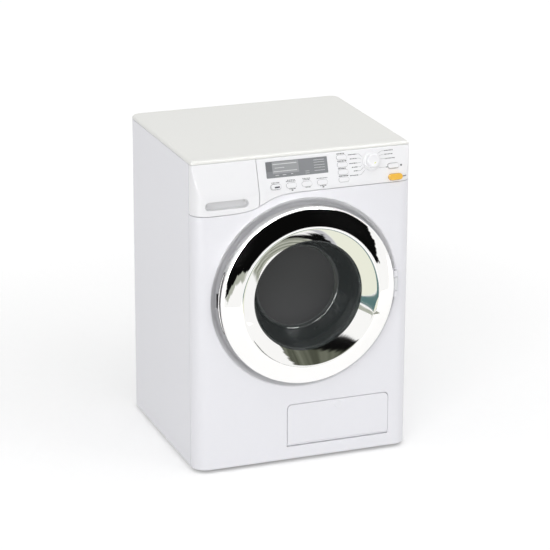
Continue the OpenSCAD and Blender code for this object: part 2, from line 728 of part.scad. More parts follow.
notch_r = 3.2;
module service_flap() color("white") difference() {
    union() {
        intersection() {
            along_y(y_front - flap_proud, in_front) flap_outline(0);
            block([flap_x0 - 1, y_front - 1, flap_axis_z], [flap_x1 + 1, in_front + 1, flap_z + flap_h + 1]);
        }
        translate([flap_x0, flap_axis_y, flap_axis_z]) rotate([0, 90, 0])
            cylinder(r = flap_barrel_r, h = flap_w);
        for (x = [flap_x0 - cheek_x + 0.6, flap_x1 - 1]) translate([x, flap_axis_y, flap_axis_z])
            rotate([0, 90, 0]) cylinder(r = flap_pin_r, h = cheek_x + 0.4);
    }
    translate([flap_mid.x, y_front - 1, flap_z + flap_h - notch_r - 1.2]) rotate([-90, 0, 0])
        cylinder(r = notch_r, h = 1.4);
}

// ---------------------------------------------------------------- door

// Outer line of the chrome ring in radius and height, moved inwards by t: side, shoulder, dome, ridge, funnel
side_p = 1.5;                            // rear edge of the ring
shoulder_r = 3;
dome_r = 62;
ridge_round = 5;
dome_a0 = 62;
dome_a1 = 74;
ridge_a1 = 120;
shoulder_c = [ring_r - shoulder_r, door_proud - 7.7];
dome_c = shoulder_c + (shoulder_r - dome_r) * [cos(dome_a0), sin(dome_a0)];
ridge_c = dome_c + (dome_r - ridge_round) * [cos(dome_a1), sin(dome_a1)];
function ring_line(t) = let (
    ridge_end = ridge_c + (ridge_round - t) * [cos(ridge_a1), sin(ridge_a1)])
    concat([[ring_r - t, side_p]],
        arc(shoulder_c, shoulder_r - t, 0, dome_a0, 8),
        arc(dome_c, dome_r - t, dome_a0, dome_a1, 8),
        arc(ridge_c, ridge_round - t, dome_a1, ridge_a1, 8),
        [[funnel_r, ridge_end.y - (ridge_end.x - funnel_r) * tan(ridge_a1 - 90)]]);
lip_p = ring_line(ring_t)[len(ring_line(ring_t)) - 1].y;     // underside of the funnel's inner lip

door_screw_r = 63;
door_screw_angles = [35, 145, 215, 325];
frame_p0 = 0.6;
frame_p1 = 3;
grip_a0 = 162;
grip_sweep = 33;
grip_p0 = 3.5;
grip_p1 = 7.1;

module door_ring() color("lightsteelblue") on_door() difference() {
    union() {
        rotate_extrude() polygon(concat(ring_line(0), backwards(ring_line(ring_t))));
        intersection() {
            for (a = door_screw_angles) rotate([0, 0, a]) translate([door_screw_r, 0, frame_p1 + 0.1])
                cylinder(r = 2.6, h = door_proud);
            rotate_extrude() polygon(concat(ring_line(0.5), [[funnel_r, 0], [ring_r - 0.5, 0]]));
        }
    }
    for (a = door_screw_angles) rotate([0, 0, a]) translate([door_screw_r, 0, 0])
        cylinder(r = screw_hole_r, h = frame_p1 + 6);
    translate([ring_r - 5, -ear_half - 1, -1]) cube([10, 2 * ear_half + 2, hinge_p + knuckle_r + 1.4]);
    rotate([0, 0, grip_a0]) rotate_extrude(angle = grip_sweep)
        translate([ring_r - 4, grip_p0]) square([8, grip_p1 - grip_p0]);
}

// Trough for the fingers, set in the side of the ring
module door_grip() color("dimgray") on_door()
    rotate([0, 0, grip_a0 + 0.2]) rotate_extrude(angle = grip_sweep - 0.4)
    difference() {
        translate([ring_r - 4.6, grip_p0 + 0.1]) square([4.5, grip_p1 - grip_p0 - 0.2]);
        translate([ring_r - 3.4, grip_p0 + 0.6]) square([8, grip_p1 - grip_p0 - 1.2]);
    }

// Smoked bowl, clamped by its rim between the ring's lip and the back frame
rim_r = funnel_r + 5;
rim_p1 = lip_p - 0.1;
rim_p0 = rim_p1 - 1.4;
bowl_mouth_r = funnel_r - 1.5;
bowl_round = 4;
waist = [bowl_mouth_r - 2, -3];
bowl_c = [bowl_end_r, -bowl_depth + bowl_round];
heel_a = atan2(waist.y - bowl_c.y, waist.x - bowl_c.x) - acos(bowl_round / norm(waist - bowl_c));
function bowl_line(t) = concat([[bowl_mouth_r + t, rim_p1], [waist.x + t, waist.y]],
    arc(bowl_c, bowl_round + t, heel_a, -90, 10), [[0, -bowl_depth - t]]);
module porthole_bowl() color([0.12, 0.13, 0.14, 0.7]) on_door() rotate_extrude() union() {
    polygon(concat(bowl_line(0), backwards(bowl_line(bowl_t))));
    translate([bowl_mouth_r + bowl_t / 2, rim_p0])
        square([rim_r - bowl_mouth_r - bowl_t / 2, rim_p1 - rim_p0]);
}

// White frame behind the ring, with the hinge knuckle and the latch hook
module door_back_frame() color("whitesmoke") on_door() difference() {
    union() {
        rotate_extrude() polygon([
            [bowl_mouth_r + bowl_t + 1, frame_p0], [ring_r - ring_t - fit, frame_p0],
            [ring_r - ring_t - fit, frame_p1],
            [rim_r + 0.5, frame_p1], [rim_r + 0.5, rim_p0 - 0.1], [bowl_mouth_r + bowl_t + 1, rim_p0 - 0.1]]);
        translate([hinge_x, knuckle_half, hinge_p]) rotate([90, 0, 0])
            cylinder(r = knuckle_r, h = 2 * knuckle_half);
        translate([ring_r - 6, -knuckle_half, frame_p0])
            cube([hinge_x - ring_r + 6, 2 * knuckle_half, frame_p1 - frame_p0]);
        translate([-hook_x - 1.2, -hook_half, floor_back_p - 4.6])
            cube([2.5, 2 * hook_half, frame_p0 - floor_back_p + 4.8]);
        translate([-hook_x, -hook_half, 0]) rotate([90, 0, 180]) translate([0, 0, -2 * hook_half])
            linear_extrude(2 * hook_half) polygon([[0, floor_back_p - 4.6], [1.5, floor_back_p - 4.6],
                [3.2, floor_back_p - 2.9], [3.2, floor_back_p - 1.4], [0, floor_back_p - 1.4]]);
    }
    translate([hinge_x, 0, hinge_p]) rotate([90, 0, 0]) cylinder(r = pin_r + run, h = 40, center = true);
    for (a = door_screw_angles) rotate([0, 0, a])
        translate([door_screw_r, 0, -5]) cylinder(r = screw_hole_r, h = 12);
}

module hinge_pin() color("silver") on_door() translate([hinge_x, 0, hinge_p]) rotate([90, 0, 0])
    cylinder(r = pin_r, h = 2 * ear_half, center = true);

module door_screws() color("silver") on_door() for (a = door_screw_angles) rotate([0, 0, a])
    translate([door_screw_r, 0, frame_p0 - 0.05]) rotate([180, 0, 0]) screw(5.5);

// Rubber ring in the neck, with a lip that reaches into the tub's mouth
seal_r = drum_mouth_r + 0.5;
module door_seal() color("gray") on_door() rotate_extrude() polygon([
    [seal_r, floor_p - 3], [neck_r - fit, floor_p - 3], [neck_r - fit, neck_p], [seal_r + 2.2, neck_p],
    [seal_r + 2.2, neck_p - 4.2], [seal_r, neck_p - 4.2]]);

// ---------------------------------------------------------------- tub, drum and drive

tub_y0 = y_front - neck_p + fit;
tub_y1 = tub_y0 + tub_depth;
tub_mouth_r = seal_r + 2.4;
tub_out = tub_r + tub_t;
boss_y1 = tub_y1 + 14;                  // end of the bearing housing and the bracket's bosses
housing_r = 8.5;
bush_r = 5;
bush_l = 5.5;
drum_y0 = tub_y0 + 6;
drum_y1 = tub_y1 - tub_t - 5;
belt_y = boss_y1 + 7;

// Turns a shape built along local Z so that it runs back along the drum's axis, from height y
module on_axis(y) translate([0, y, door_z]) rotate([-90, 0, 0]) children();

motor_at = [motor_reach, -motor_reach];
motor_lean = atan2(motor_at.y, motor_at.x);
bracket_r = 50;
bracket_t = 2;
bracket_end_r = 15;
module at_bracket_screws() for (s = [-9, 9])
    rotate([0, -motor_lean, 0]) translate([bracket_r, 0, s]) children();

drain_port = [drain_x, tub_y1 - 18];
drain_bore = 5.1;
drain_top = door_z - sqrt(pow(tub_out, 2) - pow(abs(drain_x) - drain_bore - hose_t, 2)) - 0.3;
drain_neck = door_z - sqrt(pow(tub_r, 2) - pow(abs(drain_x) + drain_bore, 2)) + 2;

module tub() color("gainsboro") difference() {
    union() {
        on_axis(tub_y0) cylinder(r = tub_out, h = tub_depth);
        on_axis(tub_y0) for (p = lug_places()) rotate([0, 0, atan2(p.y, p.x)]) linear_extrude(4) {
            translate([lug_r, 0]) circle(boss_r);
            translate([tub_out - 1, -0.8 * boss_r]) square([lug_r - tub_out + 1, 1.6 * boss_r]);
        }
        on_axis(tub_y1 - 0.5) cylinder(r = housing_r, h = boss_y1 - tub_y1 + 0.5);
        translate([0, tub_y1 - 0.5, door_z]) at_bracket_screws() rotate([-90, 0, 0])
            cylinder(r = boss_r, h = boss_y1 - tub_y1 + 0.5);
        translate([spout.x, spout.y, inlet_z0]) cylinder(r = spout_r, h = inlet_z - inlet_z0);
        translate([drain_port.x, drain_port.y, drain_top - 5])
            cylinder(r = drain_bore - 0.1, h = drain_neck - drain_top + 5);
    }
    on_axis(tub_y0 + tub_t) cylinder(r = tub_r, h = tub_depth - 2 * tub_t);
    on_axis(tub_y0 - 1) cylinder(r = tub_mouth_r, h = 5);
    on_axis(tub_y1 - tub_t - 1) cylinder(r = shaft_r + 1, h = boss_y1 - tub_y1 + tub_t + 2);
    on_axis(tub_y1 + 0.5) cylinder(r = bush_r, h = boss_y1 - tub_y1);
    translate([0, tub_y1 + 2, door_z]) at_bracket_screws()
        rotate([-90, 0, 0]) cylinder(r = screw_hole_r, h = 20);
    on_axis(tub_y0 - 1) for (p = lug_places()) translate([p.x, p.y, 0]) cylinder(r = screw_hole_r, h = 10);
    translate([spout.x, spout.y, inlet_z0 - 5]) cylinder(r = spout_r - 1.4, h = tub_out);
    translate([drain_port.x, drain_port.y, drain_top - 6])
        cylinder(r = drain_bore - 1.6, h = drain_neck - drain_top + 12);
}

module tub_screws() color("silver") on_axis(tub_y0 + 4) for (p = lug_places()) translate(p) screw(9);

// Drum: shell with rows of holes, front ring, back plate and hub
hub_r = 8;
hole_rows = 5;
module drum() color("silver") difference() {
    union() {
        on_axis(drum_y0) cylinder(r = drum_r, h = drum_y1 - drum_y0);
        on_axis(drum_y1 - 0.5) cylinder(r = hub_r, h = 4);
    }
    on_axis(drum_y0 + drum_t) cylinder(r = drum_r - drum_t, h = drum_y1 - drum_y0 - 2 * drum_t);
    on_axis(drum_y0 - 1) cylinder(r = drum_mouth_r, h = 5);
    on_axis(drum_y1 - 10) cylinder(r = shaft_r, h = 20);
    on_axis(0) for (a = [0 : 120 : 359], k = [30, 50, 70, 90], row = [0 : hole_rows - 1])
        rotate([0, 0, a + k - 90])
        translate([drum_r - 5, 0, drum_y0 + 12 + row * (drum_y1 - drum_y0 - 24) / (hole_rows - 1)])
            rotate([0, 90, 0]) cylinder(r = drum_hole_r, h = 10, $fn = 24);
    on_axis(drum_y1 - 5) for (a = [0 : 40 : 359]) rotate([0, 0, a]) translate([drum_r * 0.62, 0, 0])
        cylinder(r = drum_hole_r + 0.4, h = 10, $fn = 24);
}

// Three wedges that lift the washing
module drum_lifters() color("lightgray") on_axis(drum_y0 + drum_t + 2) for (a = [0 : 120 : 359])
    rotate([0, 0, a - 90]) intersection() {
        linear_extrude(drum_y1 - drum_y0 - 2 * drum_t - 4) polygon([
            [drum_r, -9], [drum_r, 9], [drum_r - drum_t - lifter_h + 2, 3], [drum_r - drum_t - lifter_h, 1],
            [drum_r - drum_t - lifter_h, -1], [drum_r - drum_t - lifter_h + 2, -3]]);
        cylinder(r = drum_r - drum_t - 0.02, h = tub_depth);
    }

shaft_y1 = belt_y + 8;
module drum_shaft() color("silver") on_axis(drum_y1 - drum_t)
    cylinder(r = shaft_r, h = shaft_y1 - drum_y1 + drum_t);

module shaft_seal() color("black") on_axis(tub_y1 - tub_t) pipe(shaft_r + 0.98, shaft_r + run, tub_t);

module front_bush() color("peru") on_axis(tub_y1 + 0.52) pipe(bush_r - 0.02, shaft_r + run, bush_l);

module rear_bush() color("peru") on_axis(boss_y1 - bush_l) union() {
    pipe(bush_r - 0.02, shaft_r + run, bush_l);
    translate([0, 0, bush_l]) pipe(bush_r + 1.5, shaft_r + run, 1);
}

pulley_w = belt_w + 3;
belt_gap = 0.1;                         // between the belt and the pulleys' rims
module groove(r) translate([r - belt_t / 2 - belt_gap, -belt_w / 2 - 0.3]) square([belt_t + 3, belt_w + 0.6]);
module drum_pulley() color("lightgray") on_axis(belt_y) difference() {
    rotate_extrude() difference() {
        union() {
            translate([shaft_r, -pulley_w / 2 - 1]) square([5.5, pulley_w + 2]);
            translate([shaft_r + 2, -1]) square([pulley_r - shaft_r - 4, 2]);
            translate([pulley_r - 4.5, -pulley_w / 2]) square([6, pulley_w]);
        }
        groove(pulley_r);
    }
    for (a = [30 : 60 : 359]) rotate([0, 0, a]) translate([pulley_r / 2 + 1.5, 0, -5])
        cylinder(r = pulley_r / 5, h = 10);
}

module pulley_clip() color("silver") on_axis(belt_y + pulley_w / 2 + 1.1) pipe(shaft_r + 2, shaft_r, 0.8);

// Flat belt round both pulleys
belt_span = motor_reach * sqrt(2);
belt_wrap = acos((pulley_r - pinion_r) / belt_span);
module belt_outline(t) {
    circle(pulley_r + t);
    translate([belt_span, 0]) circle(pinion_r + t);
    polygon([for (k = [[0, 1], [1, 1], [1, -1], [0, -1]]) let (r = t + (k[0] == 0 ? pulley_r : pinion_r))
        [k[0] * belt_span + r * cos(belt_wrap), k[1] * r * sin(belt_wrap)]]);
}
module drive_belt() color("black") translate([0, belt_y + belt_w / 2, door_z]) rotate([0, -motor_lean, 0])
    rotate([90, 0, 0]) linear_extrude(belt_w) difference() {
        belt_outline(belt_t / 2);
        belt_outline(-belt_t / 2);
    }

// Turns a shape built along local Z so that it runs back along the motor's axis, from y
module on_motor(y) translate([motor_at.x, y, door_z + motor_at.y]) rotate([-90, 0, 0]) children();
motor_y1 = boss_y1;
motor_shaft_r = 1;
nose_r = 3;

module motor() color("silver") difference() {
    union() {
        on_motor(motor_y1 - motor_l) intersection() {
            cylinder(r = motor_r, h = motor_l);
            translate([-motor_r, -motor_r + 2, -1]) cube([2 * motor_r, 2 * motor_r - 4, motor_l + 2]);
        }
        on_motor(motor_y1 - 0.5) cylinder(r = nose_r, h = 1.8);
    }
    on_motor(motor_y1 - 8) cylinder(r = motor_shaft_r + run, h = 12);
    on_motor(motor_y1 - 5) for (s = [-1, 1]) translate([s * 7, 0, 0]) cylinder(r = screw_hole_r, h = 6);
}

module motor_shaft() color("silver") on_motor(motor_y1 - 7)
    cylinder(r = motor_shaft_r, h = belt_y + 4 - motor_y1 + 7);

module motor_pulley() color("white") on_motor(belt_y) rotate_extrude() difference() {
    translate([motor_shaft_r, -pulley_w / 2]) square([pinion_r + 1.5 - motor_shaft_r, pulley_w]);
    groove(pinion_r);
}

// Plate that carries the motor on the tub's two bosses
module motor_bracket() color("silver") difference() {
    union() {
        translate([0, boss_y1, door_z]) rotate([0, -motor_lean, 0])
            block([bracket_r - 6, 0, 1 - bracket_end_r], [belt_span, bracket_t, bracket_end_r - 1]);
        on_motor(boss_y1) cylinder(r = bracket_end_r, h = bracket_t);
    }
    on_motor(boss_y1 - 1) cylinder(r = nose_r + fit, h = 5);
    on_motor(boss_y1 - 1) for (s = [-1, 1]) translate([s * 7, 0, 0]) cylinder(r = screw_hole_r, h = 5);
    translate([0, boss_y1 - 1, door_z]) at_bracket_screws()
        rotate([-90, 0, 0]) cylinder(r = screw_hole_r, h = 5);
}

module bracket_screws() color("silver") {
    translate([0, boss_y1 + bracket_t, door_z]) at_bracket_screws() rotate([-90, 0, 0]) screw(8);
    on_motor(boss_y1 + bracket_t) for (s = [-1, 1]) translate([s * 7, 0, 0]) screw(5.5);
}

// ---------------------------------------------------------------- drain

elbow_r = 14;
outlet_y0 = in_back - 12;
module drain_hose() color("gray") {
    difference() {
        drain_path(drain_bore + hose_t, 0);
        drain_path(drain_bore, 1);
    }
}
module drain_path(r, more) translate([drain_x, 0, 0]) {
    translate([0, drain_port.y, drain_z + elbow_r]) cylinder(r = r, h = drain_top - drain_z - elbow_r + more);
    translate([0, drain_port.y + elbow_r, drain_z + elbow_r]) rotate([90, 0, 90]) rotate([0, 0, 180])
        rotate_extrude(angle = 90) translate([elbow_r, 0]) circle(r);
    translate([0, drain_port.y + elbow_r, drain_z]) rotate([-90, 0, 0])
        cylinder(r = r, h = in_back - cup_depth - fit - drain_port.y - elbow_r + more);
}

// Cup in the back panel with the spigot that the hose pushes onto
cup_depth = 10;
plug_r = 3.4;
module drain_outlet() color("lightgray") translate([drain_x, 0, drain_z]) difference() {
    union() {
        translate([0, in_back - cup_depth, 0]) rotate([-90, 0, 0])
            cylinder(r = outlet_r, h = cup_depth + wall);
        translate([0, in_back - 1.6, 0]) rotate([-90, 0, 0]) cylinder(r = outlet_r + 2, h = 1.5);
        translate([0, outlet_y0 - 5, 0]) rotate([-90, 0, 0]) cylinder(r = drain_bore - 0.1, h = 8);
    }
    translate([0, in_back - cup_depth + box_t, 0]) rotate([-90, 0, 0])
        cylinder(r = outlet_r - 1.4, h = cup_depth + wall);
    translate([0, outlet_y0 - 6, 0]) rotate([-90, 0, 0]) cylinder(r = plug_r + run, h = 20);
}

// Rubber plug that pulls out of the spigot
module drain_plug() color("dimgray") translate([drain_x, 0, drain_z]) {
    translate([0, outlet_y0 - 2, 0]) rotate([-90, 0, 0])
        cylinder(r = plug_r, h = in_back - cup_depth + 1.8 - outlet_y0 + 2);
    translate([0, in_back - cup_depth + 1.7, 0]) rotate([-90, 0, 0]) cylinder(r = plug_r + 2, h = 2);
    block([-1, in_back - cup_depth + 3.5, -4], [1, y_back - 0.6, 4]);
}

// ---------------------------------------------------------------- battery box and loudspeaker

box_depth = 2 * cell_r + box_t + 1;
cell_y = in_back - 0.8 - cell_r;
function cell_z(i) = battery_z + box_t + cell_pitch * (i + 0.5);

module battery_box() color("darkgray") difference() {
    union() {
        block([-box_hx, in_back - box_depth - box_t, battery_z], [box_hx, in_back, battery_z + box_h]);
        block([-box_hx - 3, in_back - 1.6, battery_z - 3],
            [box_hx + 3, in_back - 0.1, battery_z + box_h + 3]);
        translate([0, in_back - tab_h, battery_z + box_h - 0.5])
            block([1 - tab_x, 0, 0], [tab_x - 1, tab_h - 0.1, tab_h]);
    }
    block([-box_hx + box_t, in_back - box_depth, battery_z + box_t],
          [box_hx - box_t, y_back, battery_z + box_h - box_t]);
    translate([0, in_back - 7, battery_z + box_h + 4]) rotate([-90, 0, 0]) cylinder(r = screw_hole_r, h = 10);
}

module battery_cells() color("goldenrod") for (i = [0 : cells - 1]) {
    side = i % 2 == 0 ? 1 : -1;
    translate([0, cell_y, cell_z(i)]) rotate([0, 90 * side, 0]) {
        translate([0, 0, -cell_l / 2]) cylinder(r = cell_r, h = cell_l - 1);
        translate([0, 0, cell_l / 2 - 1.1]) cylinder(r = 2.7, h = 1.1);
    }
}

// Plates on both end walls, with a coil for each flat cell end
module battery_contacts() color("silver") for (i = [0 : cells - 1], s = [-1, 1]) {
    cup = (i % 2 == 0) == (s > 0);
    translate([s * (box_hx - box_t - 0.35), cell_y, cell_z(i)]) {
        cube([0.6, 9, 9], center = true);
        if (!cup) for (k = [0 : 2]) translate([-s * (0.5 + 1.15 * k), 0, 0]) rotate([0, 90, 0])
            rotate_extrude() translate([3.4 - 0.4 * k, 0]) circle(0.6, $fn = 16);
    }
}

rib_half = 14;                          // half length of the grip grooves in the battery cover
rib_pitch = 2.2;
module battery_cover() color("whitesmoke") difference() {
    union() {
        along_y(in_back + 0.1, y_back) translate([0, battery_mid])
            round_rect(2 * box_hx - 2 * fit, box_h - 2 * fit, 2 - fit);
        translate([0, in_back, battery_z + box_h]) block([-tab_x, 0.1, -2], [tab_x, wall, tab_h]);
    }
    translate([0, in_back - 1, battery_z + box_h + 4]) rotate([-90, 0, 0]) {
        cylinder(r = screw_hole_r, h = 10);
        translate([0, 0, 1 + wall - screw_head_h]) cylinder(r = screw_head_r + fit, h = 5);
    }
    for (i = [-4 : 4]) translate([0, y_back, battery_mid - 12 + i * rib_pitch])
        block([-rib_half, -0.5, -0.5], [rib_half, 1, 0.5]);
}

module battery_screw() color("silver") translate([0, y_back - screw_head_h, battery_z + box_h + 4])
    rotate([-90, 0, 0]) screw(6);

module speaker() color("black") translate([grille_x, in_back - 0.1, grille_z]) rotate([90, 0, 0]) {
    difference() {
        cylinder(r = speaker_r, h = 2.4);
        translate([0, 0, -1]) cylinder(r1 = speaker_r - 1, r2 = speaker_r - 5, h = 2.6);
    }
    translate([0, 0, 2.3]) cylinder(r1 = speaker_r - 2, r2 = speaker_r - 6, h = 2.5);
    translate([0, 0, 4.7]) cylinder(r = speaker_r - 6, h = 3.5);
}

cabinet();
front_panel();
back_panel();
top_cover();
feet();
control_fascia();
display_window();
program_dial();
dial_marker();
start_key();
power_key();
door_button();
release_bar();
control_board();
board_parts();
drawer_front();
drawer_tray();
dispenser_housing();
fill_hose();
service_flap();
door_ring();
door_back_frame();
porthole_bowl();
door_grip();
hinge_pin();
door_screws();
door_seal();
tub();
tub_screws();
drum();
drum_lifters();
drum_shaft();
shaft_seal();
front_bush();
rear_bush();
drum_pulley();
pulley_clip();
drive_belt();
motor();
motor_shaft();
motor_pulley();
motor_bracket();
bracket_screws();
drain_hose();
drain_outlet();
drain_plug();
battery_box();
battery_contacts();
battery_cells();
battery_cover();
battery_screw();
speaker();
back_screws();
front_screws();
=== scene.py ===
import json

import bpy
import numpy as np
from mathutils import Matrix, Vector
from mathutils.geometry import delaunay_2d_cdt


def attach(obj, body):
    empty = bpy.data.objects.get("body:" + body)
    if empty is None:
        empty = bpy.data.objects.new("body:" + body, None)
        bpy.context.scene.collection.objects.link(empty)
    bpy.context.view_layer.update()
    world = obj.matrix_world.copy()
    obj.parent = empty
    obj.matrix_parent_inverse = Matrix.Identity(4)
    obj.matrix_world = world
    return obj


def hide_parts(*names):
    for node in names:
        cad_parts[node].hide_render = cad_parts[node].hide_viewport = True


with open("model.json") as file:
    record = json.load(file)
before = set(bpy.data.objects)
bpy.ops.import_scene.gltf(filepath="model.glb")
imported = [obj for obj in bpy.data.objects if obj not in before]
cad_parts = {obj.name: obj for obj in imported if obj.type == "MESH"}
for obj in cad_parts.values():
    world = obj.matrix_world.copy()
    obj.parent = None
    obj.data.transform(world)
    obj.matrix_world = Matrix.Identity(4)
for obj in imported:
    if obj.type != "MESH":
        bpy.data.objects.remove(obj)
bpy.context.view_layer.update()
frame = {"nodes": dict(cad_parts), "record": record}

scene = bpy.context.scene
scene.view_settings.view_transform = "Standard"

# Shapes are worked out in millimetres: X right, Y to the back, Z up, floor at Z 0.
case = {
    "halfWidth": 92.5, "front": -75.0, "back": 90.0, "seamY": -61.0, "wall": 2.4, "bottom": 3.0,
    "coverZ": 257.0, "creaseZ": 231.0, "tilt": 19.0, "cornerRound": 12.0, "rearRound": 8.0, "seam": 0.5,
    "seamX": -38.5, "edgeRound": 0.45, "topGap": 0.2,
}
doorZ = 145.0
lean = np.tan(np.radians(case["tilt"]))
tiltSin, tiltCos = np.sin(np.radians(case["tilt"])), np.cos(np.radians(case["tilt"]))


# Right, up and back vectors of a camera that looks at the machine from these angles, rolled by roll
def cameraAxes(azimuth, elevation, roll):
    az, el, ro = np.radians([azimuth, elevation, roll])
    back = np.array([np.sin(az) * np.cos(el), -np.cos(az) * np.cos(el), np.sin(el)])
    level = np.array([np.cos(az), np.sin(az), 0.0])
    rise = np.cross(back, level)
    return level * np.cos(ro) + rise * np.sin(ro), rise * np.cos(ro) - level * np.sin(ro), back


# Long lens far off, aimed at the middle of the machine and shifted a little aside
def placeCamera():
    view = {"azimuth": -20.7485, "elevation": 18.6582, "roll": 0.24196, "away": 2.05473, "lens": 162.29,
            "aim": (0.0, 0.00529, 0.1344), "aside": (0.00468, -0.00002)}
    right, up, back = cameraAxes(view["azimuth"], view["elevation"], view["roll"])
    data = bpy.data.cameras.new("camera")
    data.lens = view["lens"]
    data.sensor_width = 36.0
    camera = bpy.data.objects.new("camera", data)
    place = np.array(view["aim"]) + back * view["away"] + right * view["aside"][0] + up * view["aside"][1]
    turned = Matrix(np.array([right, up, back]).T.tolist()).to_4x4()
    camera.matrix_world = Matrix.Translation(Vector(place.tolist())) @ turned
    scene.collection.objects.link(camera)
    scene.camera = camera


placeCamera()
print("camera placed")


# New material with its node tree and its shader
def newMaterial(name):
    material = bpy.data.materials.new(name)
    material.use_nodes = True
    return material, material.node_tree, material.node_tree.nodes["Principled BSDF"]


# Node of a kind, with settings of its own and values for its inputs
def addNode(tree, kind, values=None, **settings):
    made = tree.nodes.new(kind)
    for key, value in settings.items():
        setattr(made, key, value)
    for key, value in (values or {}).items():
        made.inputs[key].default_value = value
    return made


# Group that turns object coordinates into a fine moulded grain: a height, and a mask that drifts slowly
def makeGrainGroup():
    group = bpy.data.node_groups.new("mouldedGrain", "ShaderNodeTree")
    for label, value in (("Grain Scale", 900.0), ("Drift Scale", 14.0)):
        socket = group.interface.new_socket(label, in_out="INPUT", socket_type="NodeSocketFloat")
        socket.default_value = value
    for label in ("Height", "Drift"):
        group.interface.new_socket(label, in_out="OUTPUT", socket_type="NodeSocketFloat")
    given = group.nodes.new("NodeGroupInput")
    out = group.nodes.new("NodeGroupOutput")
    where = group.nodes.new("ShaderNodeTexCoord")
    fine = addNode(group, "ShaderNodeTexNoise", {"Detail": 2.0, "Roughness": 0.45})
    slow = addNode(group, "ShaderNodeTexNoise", {"Detail": 3.0, "Roughness": 0.55})
    for made, label, target in ((fine, "Grain Scale", "Height"), (slow, "Drift Scale", "Drift")):
        group.links.new(where.outputs["Object"], made.inputs["Vector"])
        group.links.new(given.outputs[label], made.inputs["Scale"])
        group.links.new(made.outputs["Fac"], out.inputs[target])
    return group


grainGroup = makeGrainGroup()


# Moulded plastic or metal: a colour that drifts a little between two tones, uneven gloss and fine grain
def makeFinish(name, tone, rough, drift=0.03, gloss=0.06, grain=900.0, bump=0.04, metal=0.0,
               driftScale=14.0, **sockets):
    material, tree, shader = newMaterial(name)
    grained = addNode(tree, "ShaderNodeGroup", node_tree=grainGroup)
    grained.inputs["Grain Scale"].default_value = grain
    grained.inputs["Drift Scale"].default_value = driftScale
    mix = addNode(tree, "ShaderNodeMix", data_type="RGBA")
    mix.inputs[6].default_value = (*[c * (1 - drift) for c in tone], 1)
    mix.inputs[7].default_value = (*[min(c * (1 + drift), 1.0) for c in tone], 1)
    tree.links.new(grained.outputs["Drift"], mix.inputs["Factor"])
    tree.links.new(mix.outputs[2], shader.inputs["Base Color"])
    spread = addNode(tree, "ShaderNodeMapRange")
    spread.inputs["To Min"].default_value = max(rough - gloss, 0.01)
    spread.inputs["To Max"].default_value = rough + gloss
    tree.links.new(grained.outputs["Drift"], spread.inputs["Value"])
    tree.links.new(spread.outputs["Result"], shader.inputs["Roughness"])
    shader.inputs["Metallic"].default_value = metal
    if bump:
        bumped = addNode(tree, "ShaderNodeBump", {"Strength": bump, "Distance": 0.0002})
        tree.links.new(grained.outputs["Height"], bumped.inputs["Height"])
        tree.links.new(bumped.outputs["Normal"], shader.inputs["Normal"])
    for key, value in sockets.items():
        shader.inputs[key].default_value = value
    return material


finishes = {
    "casing_white": makeFinish("casingWhite", (0.82, 0.82, 0.855), 0.34, drift=0.012),
    "back_white": makeFinish("backWhite", (0.76, 0.77, 0.79), 0.5, bump=0.12, grain=700.0),
    "cover_cream": makeFinish("coverCream", (0.83, 0.83, 0.80), 0.36, drift=0.012),
    # The panel's white is a little brighter than the casing's: partly its own tone, partly painted light on
    # the upward-facing slope
    "fascia_white": makeFinish("fasciaWhite", (0.86, 0.86, 0.875), 0.3, drift=0.01),
    "display_grey": makeFinish("displayGrey", (0.257, 0.265, 0.276), 0.22, drift=0.05),
    "marker_green": makeFinish("markerGreen", (0.66, 0.70, 0.16), 0.35),
    "button_orange": makeFinish("buttonOrange", (0.90, 0.52, 0.075), 0.22, drift=0.05, driftScale=60.0),
    "inner_grey": makeFinish("innerGrey", (0.50, 0.51, 0.53), 0.45, bump=0.1),
    "board_green": makeFinish("boardGreen", (0.03, 0.20, 0.08), 0.4, drift=0.15, driftScale=120.0),
    "black_plastic": makeFinish("blackPlastic", (0.03, 0.03, 0.032), 0.4),
    "tray_white": makeFinish("trayWhite", (0.72, 0.75, 0.78), 0.42),
    "rubber_grey": makeFinish("rubberGrey", (0.16, 0.165, 0.175), 0.6, bump=0.15, drift=0.08),
    "rubber_dark": makeFinish("rubberDark", (0.03, 0.03, 0.03), 0.65, bump=0.15, drift=0.1),
    "chrome_ring": makeFinish("chromeRing", (0.965, 0.96, 0.945), 0.03, drift=0.01, gloss=0.008, bump=0.0,
                              metal=1.0),
    "grip_dark": makeFinish("gripDark", (0.055, 0.05, 0.056), 0.38, drift=0.1),
    "steel_pin": makeFinish("steelPin", (0.62, 0.62, 0.63), 0.3, drift=0.05, metal=1.0, driftScale=200.0),
    "tub_grey": makeFinish("tubGrey", (0.60, 0.61, 0.62), 0.5, bump=0.1),
    "drum_silver": makeFinish("drumSilver", (0.42, 0.43, 0.45), 0.36, drift=0.04),
    "bronze_bush": makeFinish("bronzeBush", (0.50, 0.33, 0.17), 0.42, drift=0.12, metal=1.0,
                              driftScale=300.0),
    "motor_steel": makeFinish("motorSteel", (0.52, 0.53, 0.55), 0.34, drift=0.05, metal=1.0,
                              driftScale=80.0),
    "cell_skin": makeFinish("cellSkin", (0.42, 0.30, 0.08), 0.3, drift=0.04),
}


# Clear plastic that lets a share of the light through and keeps a faint body colour of its own
def makeClear(name, tone, rough, through, **more):
    material = makeFinish(name, tone, rough, IOR=1.49, **more)
    material.node_tree.nodes["Principled BSDF"].inputs["Transmission Weight"].default_value = through
    return material


